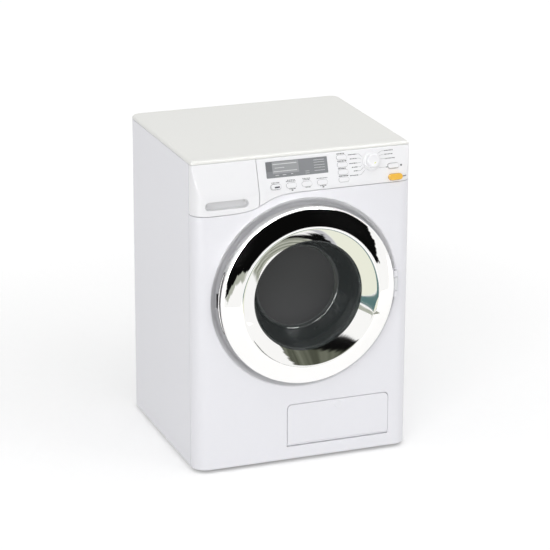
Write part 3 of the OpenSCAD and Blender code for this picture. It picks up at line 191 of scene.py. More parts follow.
# The smoked bowl is clear down its sides and frosted on its flat end
finishes["smoked_clear"] = makeClear("smokedClear", (0.145, 0.165, 0.165), 0.04, 0.8, drift=0.05,
                                     gloss=0.015, bump=0.0)
frostedEnd = makeClear("frostedEnd", (0.06, 0.062, 0.064), 0.42, 0.45, drift=0.03, bump=0.02)
# Greyer finish for the drawer slot's recess: painted shade, the same white plastic darkened for the shade
# inside it
slotPaintedShade = makeFinish("slotPaintedShade", (0.70, 0.70, 0.71), 0.45, drift=0.02)
# Grey of the dish round the door: partly its own satin grey, partly painted shade of the recess
surroundGrey = makeFinish("surroundGrey", (0.60, 0.60, 0.62), 0.30, drift=0.02)
printGrey = makeFinish("printGrey", (0.05, 0.05, 0.054), 0.5, drift=0.05)
# Soft grey of the dial's lines and the key outlines: print, and painted shade of the grooves round the keys
softPrintAndShade = makeFinish("softPrintAndShade", (0.25, 0.25, 0.26), 0.5, drift=0.05)
printLight = makeFinish("printLight", (0.66, 0.67, 0.68), 0.4, drift=0.03)
screenGrey = makeFinish("screenGrey", (0.325, 0.333, 0.342), 0.3, drift=0.04)
shadeGrey = makeFinish("shadeGrey", (0.17, 0.175, 0.185), 0.3, drift=0.2, driftScale=60.0)
print("finishes made")


# Value that is 1 for what the camera, a mirror or a clear piece sees directly, and 0 for light that bounces
def seenDirectly(tree):
    path = tree.nodes.new("ShaderNodeLightPath")
    either = addNode(tree, "ShaderNodeMath", operation="MAXIMUM")
    anyOf = addNode(tree, "ShaderNodeMath", operation="MAXIMUM")
    tree.links.new(path.outputs["Is Camera Ray"], either.inputs[0])
    tree.links.new(path.outputs["Is Glossy Ray"], either.inputs[1])
    tree.links.new(either.outputs[0], anyOf.inputs[0])
    tree.links.new(path.outputs["Is Transmission Ray"], anyOf.inputs[1])
    return anyOf.outputs[0]


# Card that only mirror-like surfaces see, from its front side alone; its tones are stored point by point
def addCard(name, verts, quads, tones):
    card, tree, shader = newMaterial(name + "Paint")
    shader.inputs["Base Color"].default_value = (0, 0, 0, 1)
    shader.inputs["Roughness"].default_value = 1.0
    shader.inputs["Specular IOR Level"].default_value = 0.0
    shader.inputs["Emission Strength"].default_value = 1.0
    painted = addNode(tree, "ShaderNodeAttribute", attribute_name="tone")
    side = tree.nodes.new("ShaderNodeNewGeometry")
    front = addNode(tree, "ShaderNodeMath", {0: 1.0}, operation="SUBTRACT")
    tree.links.new(painted.outputs["Color"], shader.inputs["Emission Color"])
    tree.links.new(side.outputs["Backfacing"], front.inputs[1])
    tree.links.new(front.outputs[0], shader.inputs["Alpha"])
    mesh = bpy.data.meshes.new(name)
    mesh.from_pydata(verts.tolist(), [], quads.tolist())
    mesh.materials.append(card)
    layer = mesh.attributes.new("tone", "FLOAT_COLOR", "POINT")
    layer.data.foreach_set("color", np.column_stack([tones, np.ones(len(tones))]).ravel())
    piece = bpy.data.objects.new(name, mesh)
    piece.visible_camera = False
    piece.visible_diffuse = False
    piece.visible_transmission = False
    piece.visible_shadow = False
    scene.collection.objects.link(piece)


# Quads of a grid of rows by columns, numbered row by row; either way round may close on itself
def gridQuads(rows, cols, closeRows=False, closeCols=False):
    i = np.arange(rows if closeRows else rows - 1)
    j = np.arange(cols if closeCols else cols - 1)
    i, j = (g.ravel() for g in np.meshgrid(i, j, indexing="ij"))
    down, right = (i + 1) % rows, (j + 1) % cols
    return np.stack([i * cols + j, i * cols + right, down * cols + right, down * cols + j], 1)


# Uneven wave between -1 and 1, for ragged edges and streaks: three sines of unlike pitch
def wavy(t, seed=0.0):
    slow = np.sin(t + seed) + 0.6 * np.sin(t * 2.3 + 1.7 * seed + 0.9)
    return (slow + 0.4 * np.sin(t * 5.1 + 2.6 * seed)) / 2


# 0 to 1 with a short ramp as t passes edge
def step(t, edge, soft):
    return np.clip((t - edge) / soft + 0.5, 0, 1)


# 1 between two edges, with a short ramp at each
def band(t, low, high, softLow, softHigh):
    return step(t, low, softLow) * (1 - step(t, high, softHigh))


# Two tones mixed by a share for each point
def blend(under, over, share):
    return np.asarray(under) * (1 - share[:, None]) + np.asarray(over) * share[:, None]


# Tall dark card curved round the front, with ragged ends and a pale mossy fringe under its left foot:
# it gives the upper half of the chrome rim its black
def addDarkCard():
    k = {"radius": 0.50, "turn": (-37.0, 63.0), "rise": (0.004, 0.53), "cols": 401, "rows": 161,
         "white": (0.97, 0.97, 0.97), "black": (0.003, 0.003, 0.003), "moss": (0.42, 0.44, 0.38),
         "left": -35.0, "right": 53.0, "foot": 0.055, "fringe": (-33.0, -14.0), "fringeHigh": 0.045}
    turn, high = np.linspace(*k["turn"], k["cols"]), np.linspace(*k["rise"], k["rows"])
    a, z = (g.ravel() for g in np.meshgrid(turn, high))
    rad = np.radians(a)
    verts = np.column_stack([np.sin(rad), -np.cos(rad), z / k["radius"]]) * k["radius"]
    foot = k["foot"] + 0.10 * step(a, -29.0, 9.0) - 0.05 * step(a, 20.0, 30.0) + 0.012 * wavy(a * 0.55)
    left = k["left"] + 1.0 * wavy(z * 70, 1.0)
    right = k["right"] + 9.0 * (z - 0.2) / 0.3 + 1.6 * wavy(z * 60, 2.0)
    fringe = band(a, k["fringe"][0] + 2 * wavy(z * 90), k["fringe"][1], 2.0, 5.0)
    tone = blend(k["white"], k["moss"], step(z, foot - k["fringeHigh"], 0.012) * fringe)
    tone = blend(tone, k["black"], step(z, foot, 0.006) * band(a, left, right, 0.8, 0.8))
    addCard("dark_card", verts, gridQuads(k["rows"], k["cols"])[:, ::-1], tone)


# Level card on a grid of places in millimetres, looking up or down; toneAt gives the tone of each place
def addLevelCard(name, across, deep, height, looksUp, toneAt):
    x, y = (g.ravel() for g in np.meshgrid(across, deep))
    quads = gridQuads(len(deep), len(across))
    verts = np.column_stack([x / 1000, y / 1000, np.full(len(x), height)])
    addCard(name, verts, quads if looksUp else quads[:, ::-1], toneAt(x, y))


# Tones of the upper card, from the door outwards: moss, black patch, grey line, cream field and teal stripe
def upperTone(x, y):
    k = {"white": (0.96, 0.96, 0.96), "mossDark": (0.13, 0.14, 0.11), "mossPale": (0.60, 0.62, 0.54),
         "black": (0.004, 0.004, 0.004), "grey": (0.50, 0.50, 0.53), "cream": (0.84, 0.855, 0.735),
         "teal": (0.10, 0.19, 0.19)}
    ahead = -y
    streaks = wavy(y * 2.6, 1.0) * 0.5 + 0.5 * wavy(y * 7.0 + x * 0.5, 3.0)
    moss = blend(k["mossDark"], k["mossPale"], step(streaks, 0.05, 0.9))
    tone = blend(k["white"], moss, step(x, 16.0, 1.5) * step(y, -97.3 + 0.5 * wavy(x * 1.5), 0.6))
    tone = blend(tone, k["grey"], band(ahead, 104.0, 107.8 + 0.8 * streaks, 0.6, 1.6) * step(x, 18.0, 3.0))
    tone = blend(tone, k["cream"], band(ahead, 107.6, 136.0, 1.5, 1.0))
    tone = blend(tone, k["teal"], band(ahead, 136.6, 158.0, 0.5, 4.0) * step(0.75, wavy(y * 1.3), 0.2))
    patch = band(ahead, 96.6 + 0.9 * wavy(x * 2.2, 2.0), 104.6 + 1.2 * wavy(x * 1.9), 0.5, 0.5)
    return blend(tone, k["black"], patch * band(x, 20.0, 27.9 + 0.7 * wavy(y * 1.4), 1.0, 0.6))


# Tones of the lower card: a black band that turns mossy to the right
def lowerTone(x, y):
    k = {"white": (0.96, 0.96, 0.96), "black": (0.004, 0.004, 0.004), "mossDark": (0.07, 0.075, 0.055),
         "mossPale": (0.17, 0.18, 0.14), "from": 15.0, "mossFrom": 18.6, "to": 32.0}
    across = band(x, k["from"] + 0.25 * wavy(y * 1.7), k["to"] + 1.2 * wavy(y * 0.9), 0.35, 2.0)
    moss = blend(k["mossDark"], k["mossPale"], step(wavy(x * 0.9 + y * 0.25), 0.1, 1.4))
    tone = blend(k["white"], k["black"], across)
    return blend(tone, moss, across * step(x, k["mossFrom"] + 0.5 * wavy(y * 1.1, 2.0), 0.8))


# Two small level cards before the door, seen from above or from below: their painted tones are the
# reflections in the chrome funnel
def addFunnelCards():
    k = {"upper": 0.125, "lower": 0.132, "x": (-20, 60), "y": (-180, -88.5), "cols": 241, "rows": 281,
         "wide": (-120, 160), "wideCols": 57, "far": -400, "farRows": 25}
    across, deep = np.linspace(*k["x"], k["cols"]), np.linspace(*k["y"], k["rows"])
    addLevelCard("funnel_card_upper", across, deep, k["upper"], True, upperTone)
    across = np.unique(np.concatenate([across, np.linspace(*k["wide"], k["wideCols"])]))
    deep = np.concatenate([np.linspace(k["far"], k["y"][0], k["farRows"])[:-1], deep])
    addLevelCard("funnel_card_lower", across, deep, k["lower"], False, lowerTone)


# Two bright strips beside and above the dark card, mirrored by the rounded heel of the bowl as fine glints:
# each runs through a few turns and rises about the door's middle, and has a half width, all in degrees
def addGlowStrips():
    k = {"radius": 0.9, "bright": 20.0, "along": 41, "across": 5, "centre": (0.0, -0.075, 0.145)}
    strips = {"glow_left": ((-56, -52, -45, -35, -20), (0, 17, 32, 45, 53), 6.5),
              "glow_right": ((44, 44), (42, 58), 9.0)}
    for name, (turns, rises, half) in strips.items():
        t, known = np.linspace(0, 1, k["along"]), np.linspace(0, 1, len(turns))
        rise = np.radians(np.interp(t, known, rises))[:, None]
        spread = np.radians(half) * np.linspace(-1, 1, k["across"]) / np.cos(rise)
        turn = np.radians(np.interp(t, known, turns))[:, None] + spread
        rise = rise + 0 * turn
        ray = np.stack([np.sin(turn) * np.cos(rise), -np.cos(turn) * np.cos(rise), np.sin(rise)], 2)
        verts = ray.reshape(-1, 3) * k["radius"] + np.array(k["centre"])
        quads = gridQuads(k["along"], k["across"])[:, ::-1]
        addCard(name, verts, quads, np.full((len(verts), 3), k["bright"]))


# Pale floor with a glow that grows with the distance from the part, so it ends in the background's white
def layFloor():
    k = {"half": 2.6, "tone": (0.86, 0.86, 0.86), "glowNear": 0.23, "glowFar": 0.47,
         "near": 0.16, "far": 0.95}
    material, tree, shader = newMaterial("paleFloor")
    shader.inputs["Base Color"].default_value = (*k["tone"], 1)
    shader.inputs["Roughness"].default_value = 0.85
    shader.inputs["Specular IOR Level"].default_value = 0.1
    shader.inputs["Emission Color"].default_value = (1, 1, 1, 1)
    place = tree.nodes.new("ShaderNodeTexCoord")
    away = addNode(tree, "ShaderNodeVectorMath", operation="LENGTH")
    rise = addNode(tree, "ShaderNodeMapRange", {"From Min": k["near"], "From Max": k["far"],
                                                "To Min": k["glowNear"], "To Max": k["glowFar"]},
                   interpolation_type="SMOOTHSTEP")
    glow = addNode(tree, "ShaderNodeMath", operation="MULTIPLY")
    tree.links.new(place.outputs["Object"], away.inputs[0])
    tree.links.new(away.outputs["Value"], rise.inputs["Value"])
    tree.links.new(seenDirectly(tree), glow.inputs[0])
    tree.links.new(rise.outputs["Result"], glow.inputs[1])
    tree.links.new(glow.outputs[0], shader.inputs["Emission Strength"])
    half = k["half"]
    mesh = bpy.data.meshes.new("floor")
    corners = [(-half, -half, 0), (half, -half, 0), (half, half, 0), (-half, half, 0)]
    mesh.from_pydata(corners, [], [(0, 1, 2, 3)])
    mesh.materials.append(material)
    floor = bpy.data.objects.new("floor", mesh)
    scene.collection.objects.link(floor)


# White world: full strength where it is seen directly, weaker as the light that bounces
def lightWorld():
    k = {"bounce": 0.55, "seen": 1.0}
    world = bpy.data.worlds.new("studio")
    scene.world = world
    world.use_nodes = True
    sky = world.node_tree
    level = addNode(sky, "ShaderNodeMapRange", {"To Min": k["bounce"], "To Max": k["seen"]})
    sky.links.new(seenDirectly(sky), level.inputs["Value"])
    sky.links.new(level.outputs["Result"], sky.nodes["Background"].inputs["Strength"])
    sky.nodes["Background"].inputs["Color"].default_value = (1, 1, 1, 1)


# Soft lamps: each has a place, a point it looks at, the length of its side and its power
def placeLamps():
    lamps = {
        "top_box": ((0.1, -0.3, 1.7), (0, 0, 0.1), 1.6, 7.0),
        "left_box": ((-1.1, -1.6, 0.9), (0, 0, 0.12), 1.2, 12.0),
        "right_box": ((1.3, -1.5, 0.8), (0, 0, 0.12), 1.0, 5.0),
    }
    for name, (place, aim, size, power) in lamps.items():
        light = bpy.data.lights.new(name, "AREA")
        light.size = size
        light.energy = power
        lamp = bpy.data.objects.new(name, light)
        lamp.location = place
        lamp.rotation_euler = (Vector(aim) - Vector(place)).to_track_quat("-Z", "Y").to_euler()
        scene.collection.objects.link(lamp)


addDarkCard()
addFunnelCards()
addGlowStrips()
layFloor()
lightWorld()
placeLamps()
print("stage set")


# Volume inside a closed set of faces, from each face's fan of triangles: positive if they point outwards
def volumeInside(verts, faceSets):
    total = 0.0
    for faces in faceSets:
        for k in range(1, faces.shape[1] - 1):
            a, b, c = verts[faces[:, 0]], verts[faces[:, k]], verts[faces[:, k + 1]]
            total += np.einsum("ij,ij->", a, np.cross(b, c)) / 6
    return total


# Arrays of a closed surface's points and faces, with the faces turned outwards
def facingOut(verts, faceSets):
    verts = np.asarray(verts, float)
    faceSets = [np.asarray(f, int) for f in faceSets if len(f)]
    if volumeInside(verts, faceSets) < 0:
        faceSets = [f[:, ::-1] for f in faceSets]
    return verts, faceSets


# Puts a closed surface in the scene, millimetres to metres, and keeps corners sharper than angle crisp.
# A piece without a material of its own takes the finish of its slot
def addPiece(name, body, slotName, verts, faceSets, material=None, angle=38.0, replaced=(), weighted=True):
    verts, faceSets = facingOut(np.asarray(verts, float) * 0.001, faceSets)
    mesh = bpy.data.meshes.new(name)
    mesh.from_pydata(verts.tolist(), [], [row for f in faceSets for row in f.tolist()])
    mesh.materials.append(material or finishes[slotName])
    mesh.shade_smooth()
    mesh.set_sharp_from_angle(angle=np.radians(angle))
    piece = bpy.data.objects.new(name, mesh)
    scene.collection.objects.link(piece)
    if weighted:
        even = piece.modifiers.new("even_shading", "WEIGHTED_NORMAL")
        even.keep_sharp = True
        even.weight = 60
    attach(piece, body)
    if replaced:
        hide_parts(*replaced)
    return piece


# Middles of a piece's faces, in millimetres
def faceCentres(piece):
    centres = np.zeros(len(piece.data.polygons) * 3)
    piece.data.polygons.foreach_get("center", centres)
    return centres.reshape(-1, 3).T * 1000


# Gives the faces that chosen marks a finish of their own
def addSecondFinish(piece, material, chosen):
    piece.data.materials.append(material)
    piece.data.polygons.foreach_set("material_index", chosen.astype(np.int32))


# Several closed surfaces as one: (verts, faceSets) pairs joined
def joined(parts):
    verts, faces, start = [], [], 0
    for part in parts:
        partVerts, faceSets = facingOut(*part)
        verts.append(partVerts)
        faces += [f + start for f in faceSets]
        start += len(partVerts)
    return np.concatenate(verts), faces


# Points round an arc from angle start to end, in degrees
def arc(centre, radius, start, end, count):
    a = np.radians(np.linspace(start, end, count + 1))
    return np.asarray(centre) + radius * np.stack([np.cos(a), np.sin(a)], 1)


# A profile of (radius, height) rows turned right round: x = r cos, z = r sin, height along the axis.
# Rows whose radius is nought become one point that closes the end.
def turnedSurface(profile, count):
    profile = np.asarray(profile, float)
    turn = np.linspace(0, 2 * np.pi, count, endpoint=False)
    ring = np.stack([np.outer(profile[:, 0], np.cos(turn)), np.outer(profile[:, 0], np.sin(turn)),
                     np.outer(profile[:, 1], np.ones(count))], 2)
    return weldPoints(ring.reshape(-1, 3), [gridQuads(len(profile), count, closeCols=True)])


# Merges points that lie on each other: a quad that then has a corner twice becomes a triangle
def weldPoints(verts, quadSets, near=1e-4):
    keys = np.round(verts / near).astype(np.int64)
    _, first, back = np.unique(keys, axis=0, return_index=True, return_inverse=True)
    out = []
    for quads in quadSets:
        f = back.ravel()[quads]
        twin = np.stack([f[:, k] == f[:, (k + 1) % 4] for k in range(4)], 1)
        count = twin.sum(1)
        keep = (twin[count == 1].argmax(1)[:, None] + 1 + np.arange(3)) % 4
        out += [f[count == 0], np.take_along_axis(f[count == 1], keep, 1)]
    return verts[first], [f for f in out if len(f)]


# Door places: radius and angle about the door's axis, p outwards from the casing's face
def toDoor(points):
    points = np.asarray(points, float)
    return np.stack([points[:, 0], case["front"] - points[:, 2], doorZ + points[:, 1]], 1)


# Places on the sloping panel: x, s up the slope from the crease, out from its face
def toPanel(points):
    x, s, out = np.asarray(points, float).T
    y = case["front"] + s * tiltSin - out * tiltCos
    return np.stack([x, y, case["creaseZ"] + s * tiltCos + out * tiltSin], 1)


# Closed outline of a box with round corners, anticlockwise, about a centre
def roundedOutline(width, height, radius, centre=(0, 0), steps=8):
    radius = min(radius, width / 2 - 1e-3, height / 2 - 1e-3)
    hx, hy = width / 2 - radius, height / 2 - radius
    corners = [arc((sx * hx, sy * hy), radius, a, a + 90, steps)
               for sx, sy, a in ((1, 1, 0), (-1, 1, 90), (-1, -1, 180), (1, -1, 270))]
    return np.concatenate(corners) + np.asarray(centre)


# Rows of places, each given the same level as one more value
def atLevel(outline, level):
    return np.column_stack([outline, np.full(len(outline), level)])


# Stack of outlines with the same number of points, joined by quads, with flat ends
def stackedOutlines(rings):
    rings = np.asarray(rings, float)
    count, around = rings.shape[:2]
    verts = rings.reshape(-1, 3)
    ends = np.stack([np.arange(around)[::-1], np.arange(around) + (count - 1) * around])
    return verts, [gridQuads(count, around, closeCols=True), ends]


# Pillow-edged cap: a rounded box outline carried up in height rows of (inset, height)
def roundedCap(width, height, radius, rows, centre=(0, 0), steps=8):
    rings = []
    for inset, level in rows:
        size = (width - 2 * inset, height - 2 * inset, max(radius - inset, 0.05))
        rings.append(atLevel(roundedOutline(*size, centre, steps), level))
    return stackedOutlines(rings)


# Inset and height rows of a rounded upper edge
def roundedRows(bottom, top, radius, steps=5):
    a = np.radians(np.linspace(0, 90, steps + 1))
    return [(0.0, bottom)] + [(radius * (1 - np.cos(t)), top - radius * (1 - np.sin(t))) for t in a]


# Chrome ring of the door: radii and angles of its arcs, the hinge notch and the finger grip
ringSet = {
    "outer": 74.0, "rear": 1.5, "sideTop": 7.3, "wall": 1.8, "shoulder": 3.0, "shoulderLow": 7.7,
    "dome": 62.0, "domeFrom": 62.0, "domeTo": 74.0, "ridge": 5.0, "ridgeTo": 120.0, "funnel": 46.0,
    "proud": 14.998, "around": 512, "notchHalf": 12.0, "notchX": 69.0, "notchTop": 6.7,
    "gripFrom": 160.0, "gripTo": 199.0, "gripLow": 2.4, "gripHigh": 7.25, "gripDeep": 2.4,
}


# Outer line of the ring moved inwards by t: shoulder arc, dome arc, ridge arc and straight funnel
def ringLine(t):
    k = ringSet
    shoulderAt = np.array([k["outer"] - k["shoulder"], k["proud"] - k["shoulderLow"]])
    away = np.radians(k["domeFrom"])
    domeAt = shoulderAt + (k["shoulder"] - k["dome"]) * np.array([np.cos(away), np.sin(away)])
    toward = np.radians(k["domeTo"])
    ridgeAt = domeAt + (k["dome"] - k["ridge"]) * np.array([np.cos(toward), np.sin(toward)])
    ridge = arc(ridgeAt, k["ridge"] - t, k["domeTo"], k["ridgeTo"], 14)
    slope = np.tan(np.radians(k["ridgeTo"] - 90))
    lip = np.array([[k["funnel"], ridge[-1, 1] - (ridge[-1, 0] - k["funnel"]) * slope]])
    funnel = ridge[-1] + (lip - ridge[-1]) * np.linspace(0, 1, 9)[1:, None]
    return np.concatenate([arc(shoulderAt, k["shoulder"] - t, 0, k["domeFrom"], 12),
                           arc(domeAt, k["dome"] - t, k["domeFrom"], k["domeTo"], 16)[1:],
                           ridge[1:], funnel])


# How far the ring's side wall steps in: the hinge notch on the right has a flat floor, and the lens-shaped
# grip on the left is deepest along its middle and rises to its rim as a power of 1 - across^2
def ringRecess(angle, p):
    k = ringSet
    turn = np.degrees(angle)
    z = k["outer"] * np.sin(angle)
    inNotch = (np.abs(z) < k["notchHalf"]) & (np.cos(angle) > 0) & (p < k["notchTop"])
    notch = np.where(inNotch, k["outer"] - k["notchX"] / np.maximum(np.cos(angle), 0.5), 0.0)
    middle, half = (k["gripFrom"] + k["gripTo"]) / 2, (k["gripTo"] - k["gripFrom"]) / 2
    along = np.clip(1 - ((turn - middle) / half) ** 2, 0, 1)
    mid = (k["gripLow"] + k["gripHigh"]) / 2
    tall = (k["gripHigh"] - k["gripLow"]) / 2 * np.sqrt(along)
    across = np.clip(1 - ((p - mid) / np.maximum(tall, 1e-3)) ** 2, 0, 1)
    return notch + k["gripDeep"] * np.minimum(1.0, 2.2 * along) * across ** 0.6


# The ring's closed profile turned round the door's axis. Its side wall's radius is less by ringRecess, with
# extra places along the grip and close to both rims of the notch
def makeDoorRing():
    k = {**ringSet, "rimGap": 0.02, "gripSteps": 133, "sideRows": 30}
    edge = np.degrees(np.arcsin(k["notchHalf"] / k["outer"]))
    rims = [at + gap for at in (edge, 360 - edge) for gap in (-k["rimGap"], k["rimGap"])]
    around = [np.linspace(0, 360, k["around"], endpoint=False),
              np.linspace(k["gripFrom"], k["gripTo"], k["gripSteps"]), rims]
    turn = np.radians(np.unique(np.concatenate(around)))
    rows = np.linspace(k["rear"], k["sideTop"], k["sideRows"])[:-1]
    rows = np.unique(np.concatenate([rows, [k["notchTop"] - k["rimGap"], k["notchTop"] + k["rimGap"]]]))
    sideOut = np.column_stack([np.full(len(rows), k["outer"]), rows])
    sideIn = np.column_stack([np.full(len(rows), k["outer"] - k["wall"]), rows])
    profile = np.concatenate([sideOut, ringLine(0), ringLine(k["wall"])[::-1], sideIn[::-1]])
    isSide = np.zeros(len(profile), bool)
    isSide[:len(rows)] = True
    isSide[-len(rows):] = True
    recess = np.where(isSide[:, None], ringRecess(turn[None, :], profile[:, 1:2]), 0.0)
    radius = np.repeat(profile[:, :1], len(turn), 1) - recess
    height = np.repeat(profile[:, 1:], len(turn), 1)
    verts = np.stack([radius * np.cos(turn), radius * np.sin(turn), height], 2).reshape(-1, 3)
    faces = gridQuads(len(profile), len(turn), closeRows=True, closeCols=True)
    return addPiece("chrome_ring", "door", "chrome_ring", toDoor(verts), [faces], angle=30,
                    replaced=["door_ring"])


makeDoorRing()
print("chrome ring made")


# Smoked bowl: radii of mouth, waist, flat end and rim, and its depth
bowlSet = {"mouth": 44.5, "waist": (42.5, -3.0), "end": 33.0, "depth": 18.0, "round": 4.0, "wall": 1.5,
           "rim": 51.0, "rimThick": 1.4, "rimGap": 0.1}


# Line of the bowl's inner face, moved outwards by t: mouth, waist, heel arc and flat end
def bowlLine(t, lipP):
    k = bowlSet
    centre = np.array([k["end"], -k["depth"] + k["round"]])
    waist = np.array(k["waist"])
    reach = np.hypot(*(waist - centre))
    heel = np.degrees(np.arctan2(*(waist - centre)[::-1]) - np.arccos(k["round"] / reach))
    start = np.array([[k["mouth"] + t, lipP], [waist[0] + t, waist[1]]])
    heelArc = arc(centre, k["round"] + t, heel, -90, 14)
    side = start[1] + (heelArc[0] - start[1]) * np.linspace(0, 1, 10)[1:-1, None]
    flat = atLevel(np.linspace(k["end"], 0, 12)[1:, None], -k["depth"] - t)
    return np.concatenate([start, side, heelArc, flat])


# The bowl's inner and outer lines, joined by a flat rim behind the ring's lip and turned round the door's
# axis; its flat end is frosted
def makeBowl():
    k = bowlSet
    lipP = ringLine(ringSet["wall"])[-1, 1] - k["rimGap"]
    inner, outer = bowlLine(0, lipP), bowlLine(k["wall"], lipP)
    rimBack = lipP - k["rimThick"]
    rim = np.array([[k["rim"], lipP], [k["rim"], rimBack], [k["mouth"] + k["wall"] + 0.3, rimBack]])
    profile = np.concatenate([inner[::-1], rim, outer[1:]])
    verts, faces = turnedSurface(profile, 256)
    piece = addPiece("smoked_bowl", "door", "smoked_clear", toDoor(verts), faces, angle=40,
                     replaced=["porthole_bowl"], weighted=False)
    x, y, z = faceCentres(piece)
    isEnd = (np.hypot(x, z - doorZ) < k["end"]) & (y > case["front"] + k["depth"] - 0.2)
    addSecondFinish(piece, frostedEnd, isEnd)
    return piece


makeBowl()
print("bowl made")


# Contour places where the flat front ends, where the side begins and where it ends at the casing's seam
flatEnd = case["halfWidth"] - case["cornerRound"]
sideStart = flatEnd + case["cornerRound"] * np.pi / 2
sideU = sideStart + case["seamY"] - case["seam"] / 2 - case["front"] - case["cornerRound"]


# Contour of the casing seen from above: u runs along the flat front, round the corner and along the side
def contour(u, depth):
    r = case["cornerRound"]
    a = np.clip((np.abs(u) - flatEnd) / r, 0, np.pi / 2)
    x = np.minimum(np.abs(u), flatEnd) + (r - depth) * np.sin(a)
    straight = np.maximum(np.abs(u) - sideStart, 0)
    return np.sign(u) * x, case["front"] + depth + (r - depth) * (1 - np.cos(a)) + straight


# Outer surface of the casing at contour place u and height z, moved in by depth: the contour, or the
# sloping panel's plane where that lies further back, with a soft crease between them
def casingPoint(u, z, depth):
    x, y = contour(u, depth)
    slope = case["front"] + (z - case["creaseZ"]) * lean + depth / tiltCos
    soft = 1.0
    y = np.maximum(y, slope) + np.maximum(soft - np.abs(y - slope), 0) ** 2 / (4 * soft)
    return np.stack([x, y, z + 0 * x], 1)


# Edge line under the control panel: low under the drawer, high under the panel, with a soft S-curve between
def swingLine(x):
    k = {"low": 216.4, "climb": 13.0, "middle": -34.0, "soft": 6.5}
    return k["low"] + k["climb"] / (1 + np.exp(-(x - k["middle"]) / k["soft"]))


# Points along a closed outline at most spacing apart, with none doubled and none closer than clear to a
# sharp corner
def evenOutline(points, spacing, clear=0.9):
    points = np.asarray(points, float)
    points = points[np.hypot(*(points - np.roll(points, 1, 0)).T) > 0.01]
    after = np.roll(points, -1, 0)
    parts, sharp = [], []
    ahead = (after - points) / np.hypot(*(after - points).T)[:, None]
    turn = np.einsum("ij,ij->i", ahead, np.roll(ahead, 1, 0)) < 0.85
    for a, b, isSharp in zip(points, after, turn):
        count = max(int(np.ceil(np.hypot(*(b - a)) / spacing)), 1)
        parts.append(a + (b - a) * (np.arange(count) / count)[:, None])
        sharp.append(np.arange(count) < isSharp)
    parts, sharp = np.concatenate(parts), np.concatenate(sharp)
    if not sharp.any():
        return parts
    apart = parts[:, None] - parts[sharp][None]
    return parts[sharp | (np.hypot(apart[..., 0], apart[..., 1]).min(1) > clear)]


# Outward unit directions at the points of an anticlockwise outline, lengthened at corners so that edges
# move evenly
def outlineNormals(points):
    ahead = np.roll(points, -1, 0) - points
    ahead /= np.linalg.norm(ahead, axis=1, keepdims=True)
    behind = np.roll(ahead, 1, 0)
    both = ahead + behind
    both /= np.linalg.norm(both, axis=1, keepdims=True)
    normal = np.stack([both[:, 1], -both[:, 0]], 1)
    share = np.abs(np.einsum("ij,ij->i", normal, np.stack([ahead[:, 1], -ahead[:, 0]], 1)))
    return normal / np.maximum(share, 0.5)[:, None]


# True for the places that lie inside a closed outline, by counting the edges that a level ray crosses
def insideOutline(places, outline):
    x, y = places[:, 0][:, None], places[:, 1][:, None]
    a, b = outline, np.roll(outline, -1, 0)
    crosses = (a[:, 1] > y) != (b[:, 1] > y)
    climb = np.where(b[:, 1] == a[:, 1], 1e-9, b[:, 1] - a[:, 1])
    reach = (b[:, 0] - a[:, 0]) * (y - a[:, 1]) / climb + a[:, 0]
    return (crosses & (x < reach)).sum(1) % 2 == 1


# True for the places inside the first outline and outside all the others
def insideArea(places, outlines):
    keep = insideOutline(places, outlines[0])
    for hole in outlines[1:]:
        keep &= ~insideOutline(places, hole)
    return keep


# Triangles that fill the area between an outer outline and its holes, through extra grid places inside it
def fillArea(outlines, gridX=(), gridY=(), margin=0.5):
    outlines = [np.asarray(o, np.float32).astype(float) for o in outlines]
    edge = np.concatenate(outlines)
    extra = np.zeros((0, 2))
    if len(gridX):
        extra = np.stack([g.ravel() for g in np.meshgrid(gridX, gridY)], 1)
        extra = extra[insideArea(extra, outlines)]
        extra = extra[[np.min(np.hypot(*(edge - p).T)) > margin for p in extra]]
    places = np.concatenate([edge, extra.astype(np.float32).astype(float)])
    links, start = [], 0
    for outline in outlines:
        ring = np.arange(len(outline))
        links.append(np.stack([ring, np.roll(ring, -1)], 1) + start)
        start += len(outline)
    flat, links = [Vector(p) for p in places.tolist()], np.concatenate(links).tolist()
    _, _, tris, sources, _, _ = delaunay_2d_cdt(flat, links, [], 0, 1e-7)
    if any(len(o) != 1 for o in sources):
        raise ValueError("outlines cross or touch")
    faces = np.array([o[0] for o in sources])[np.array(tris)]
    keep = insideArea(places[faces].mean(1), outlines)
    if keep.sum() != 2 * len(extra) + len(edge) + 2 * len(outlines) - 4:
        raise ValueError("the fill has a gap or a fold")
    return places, faces[keep], len(edge)


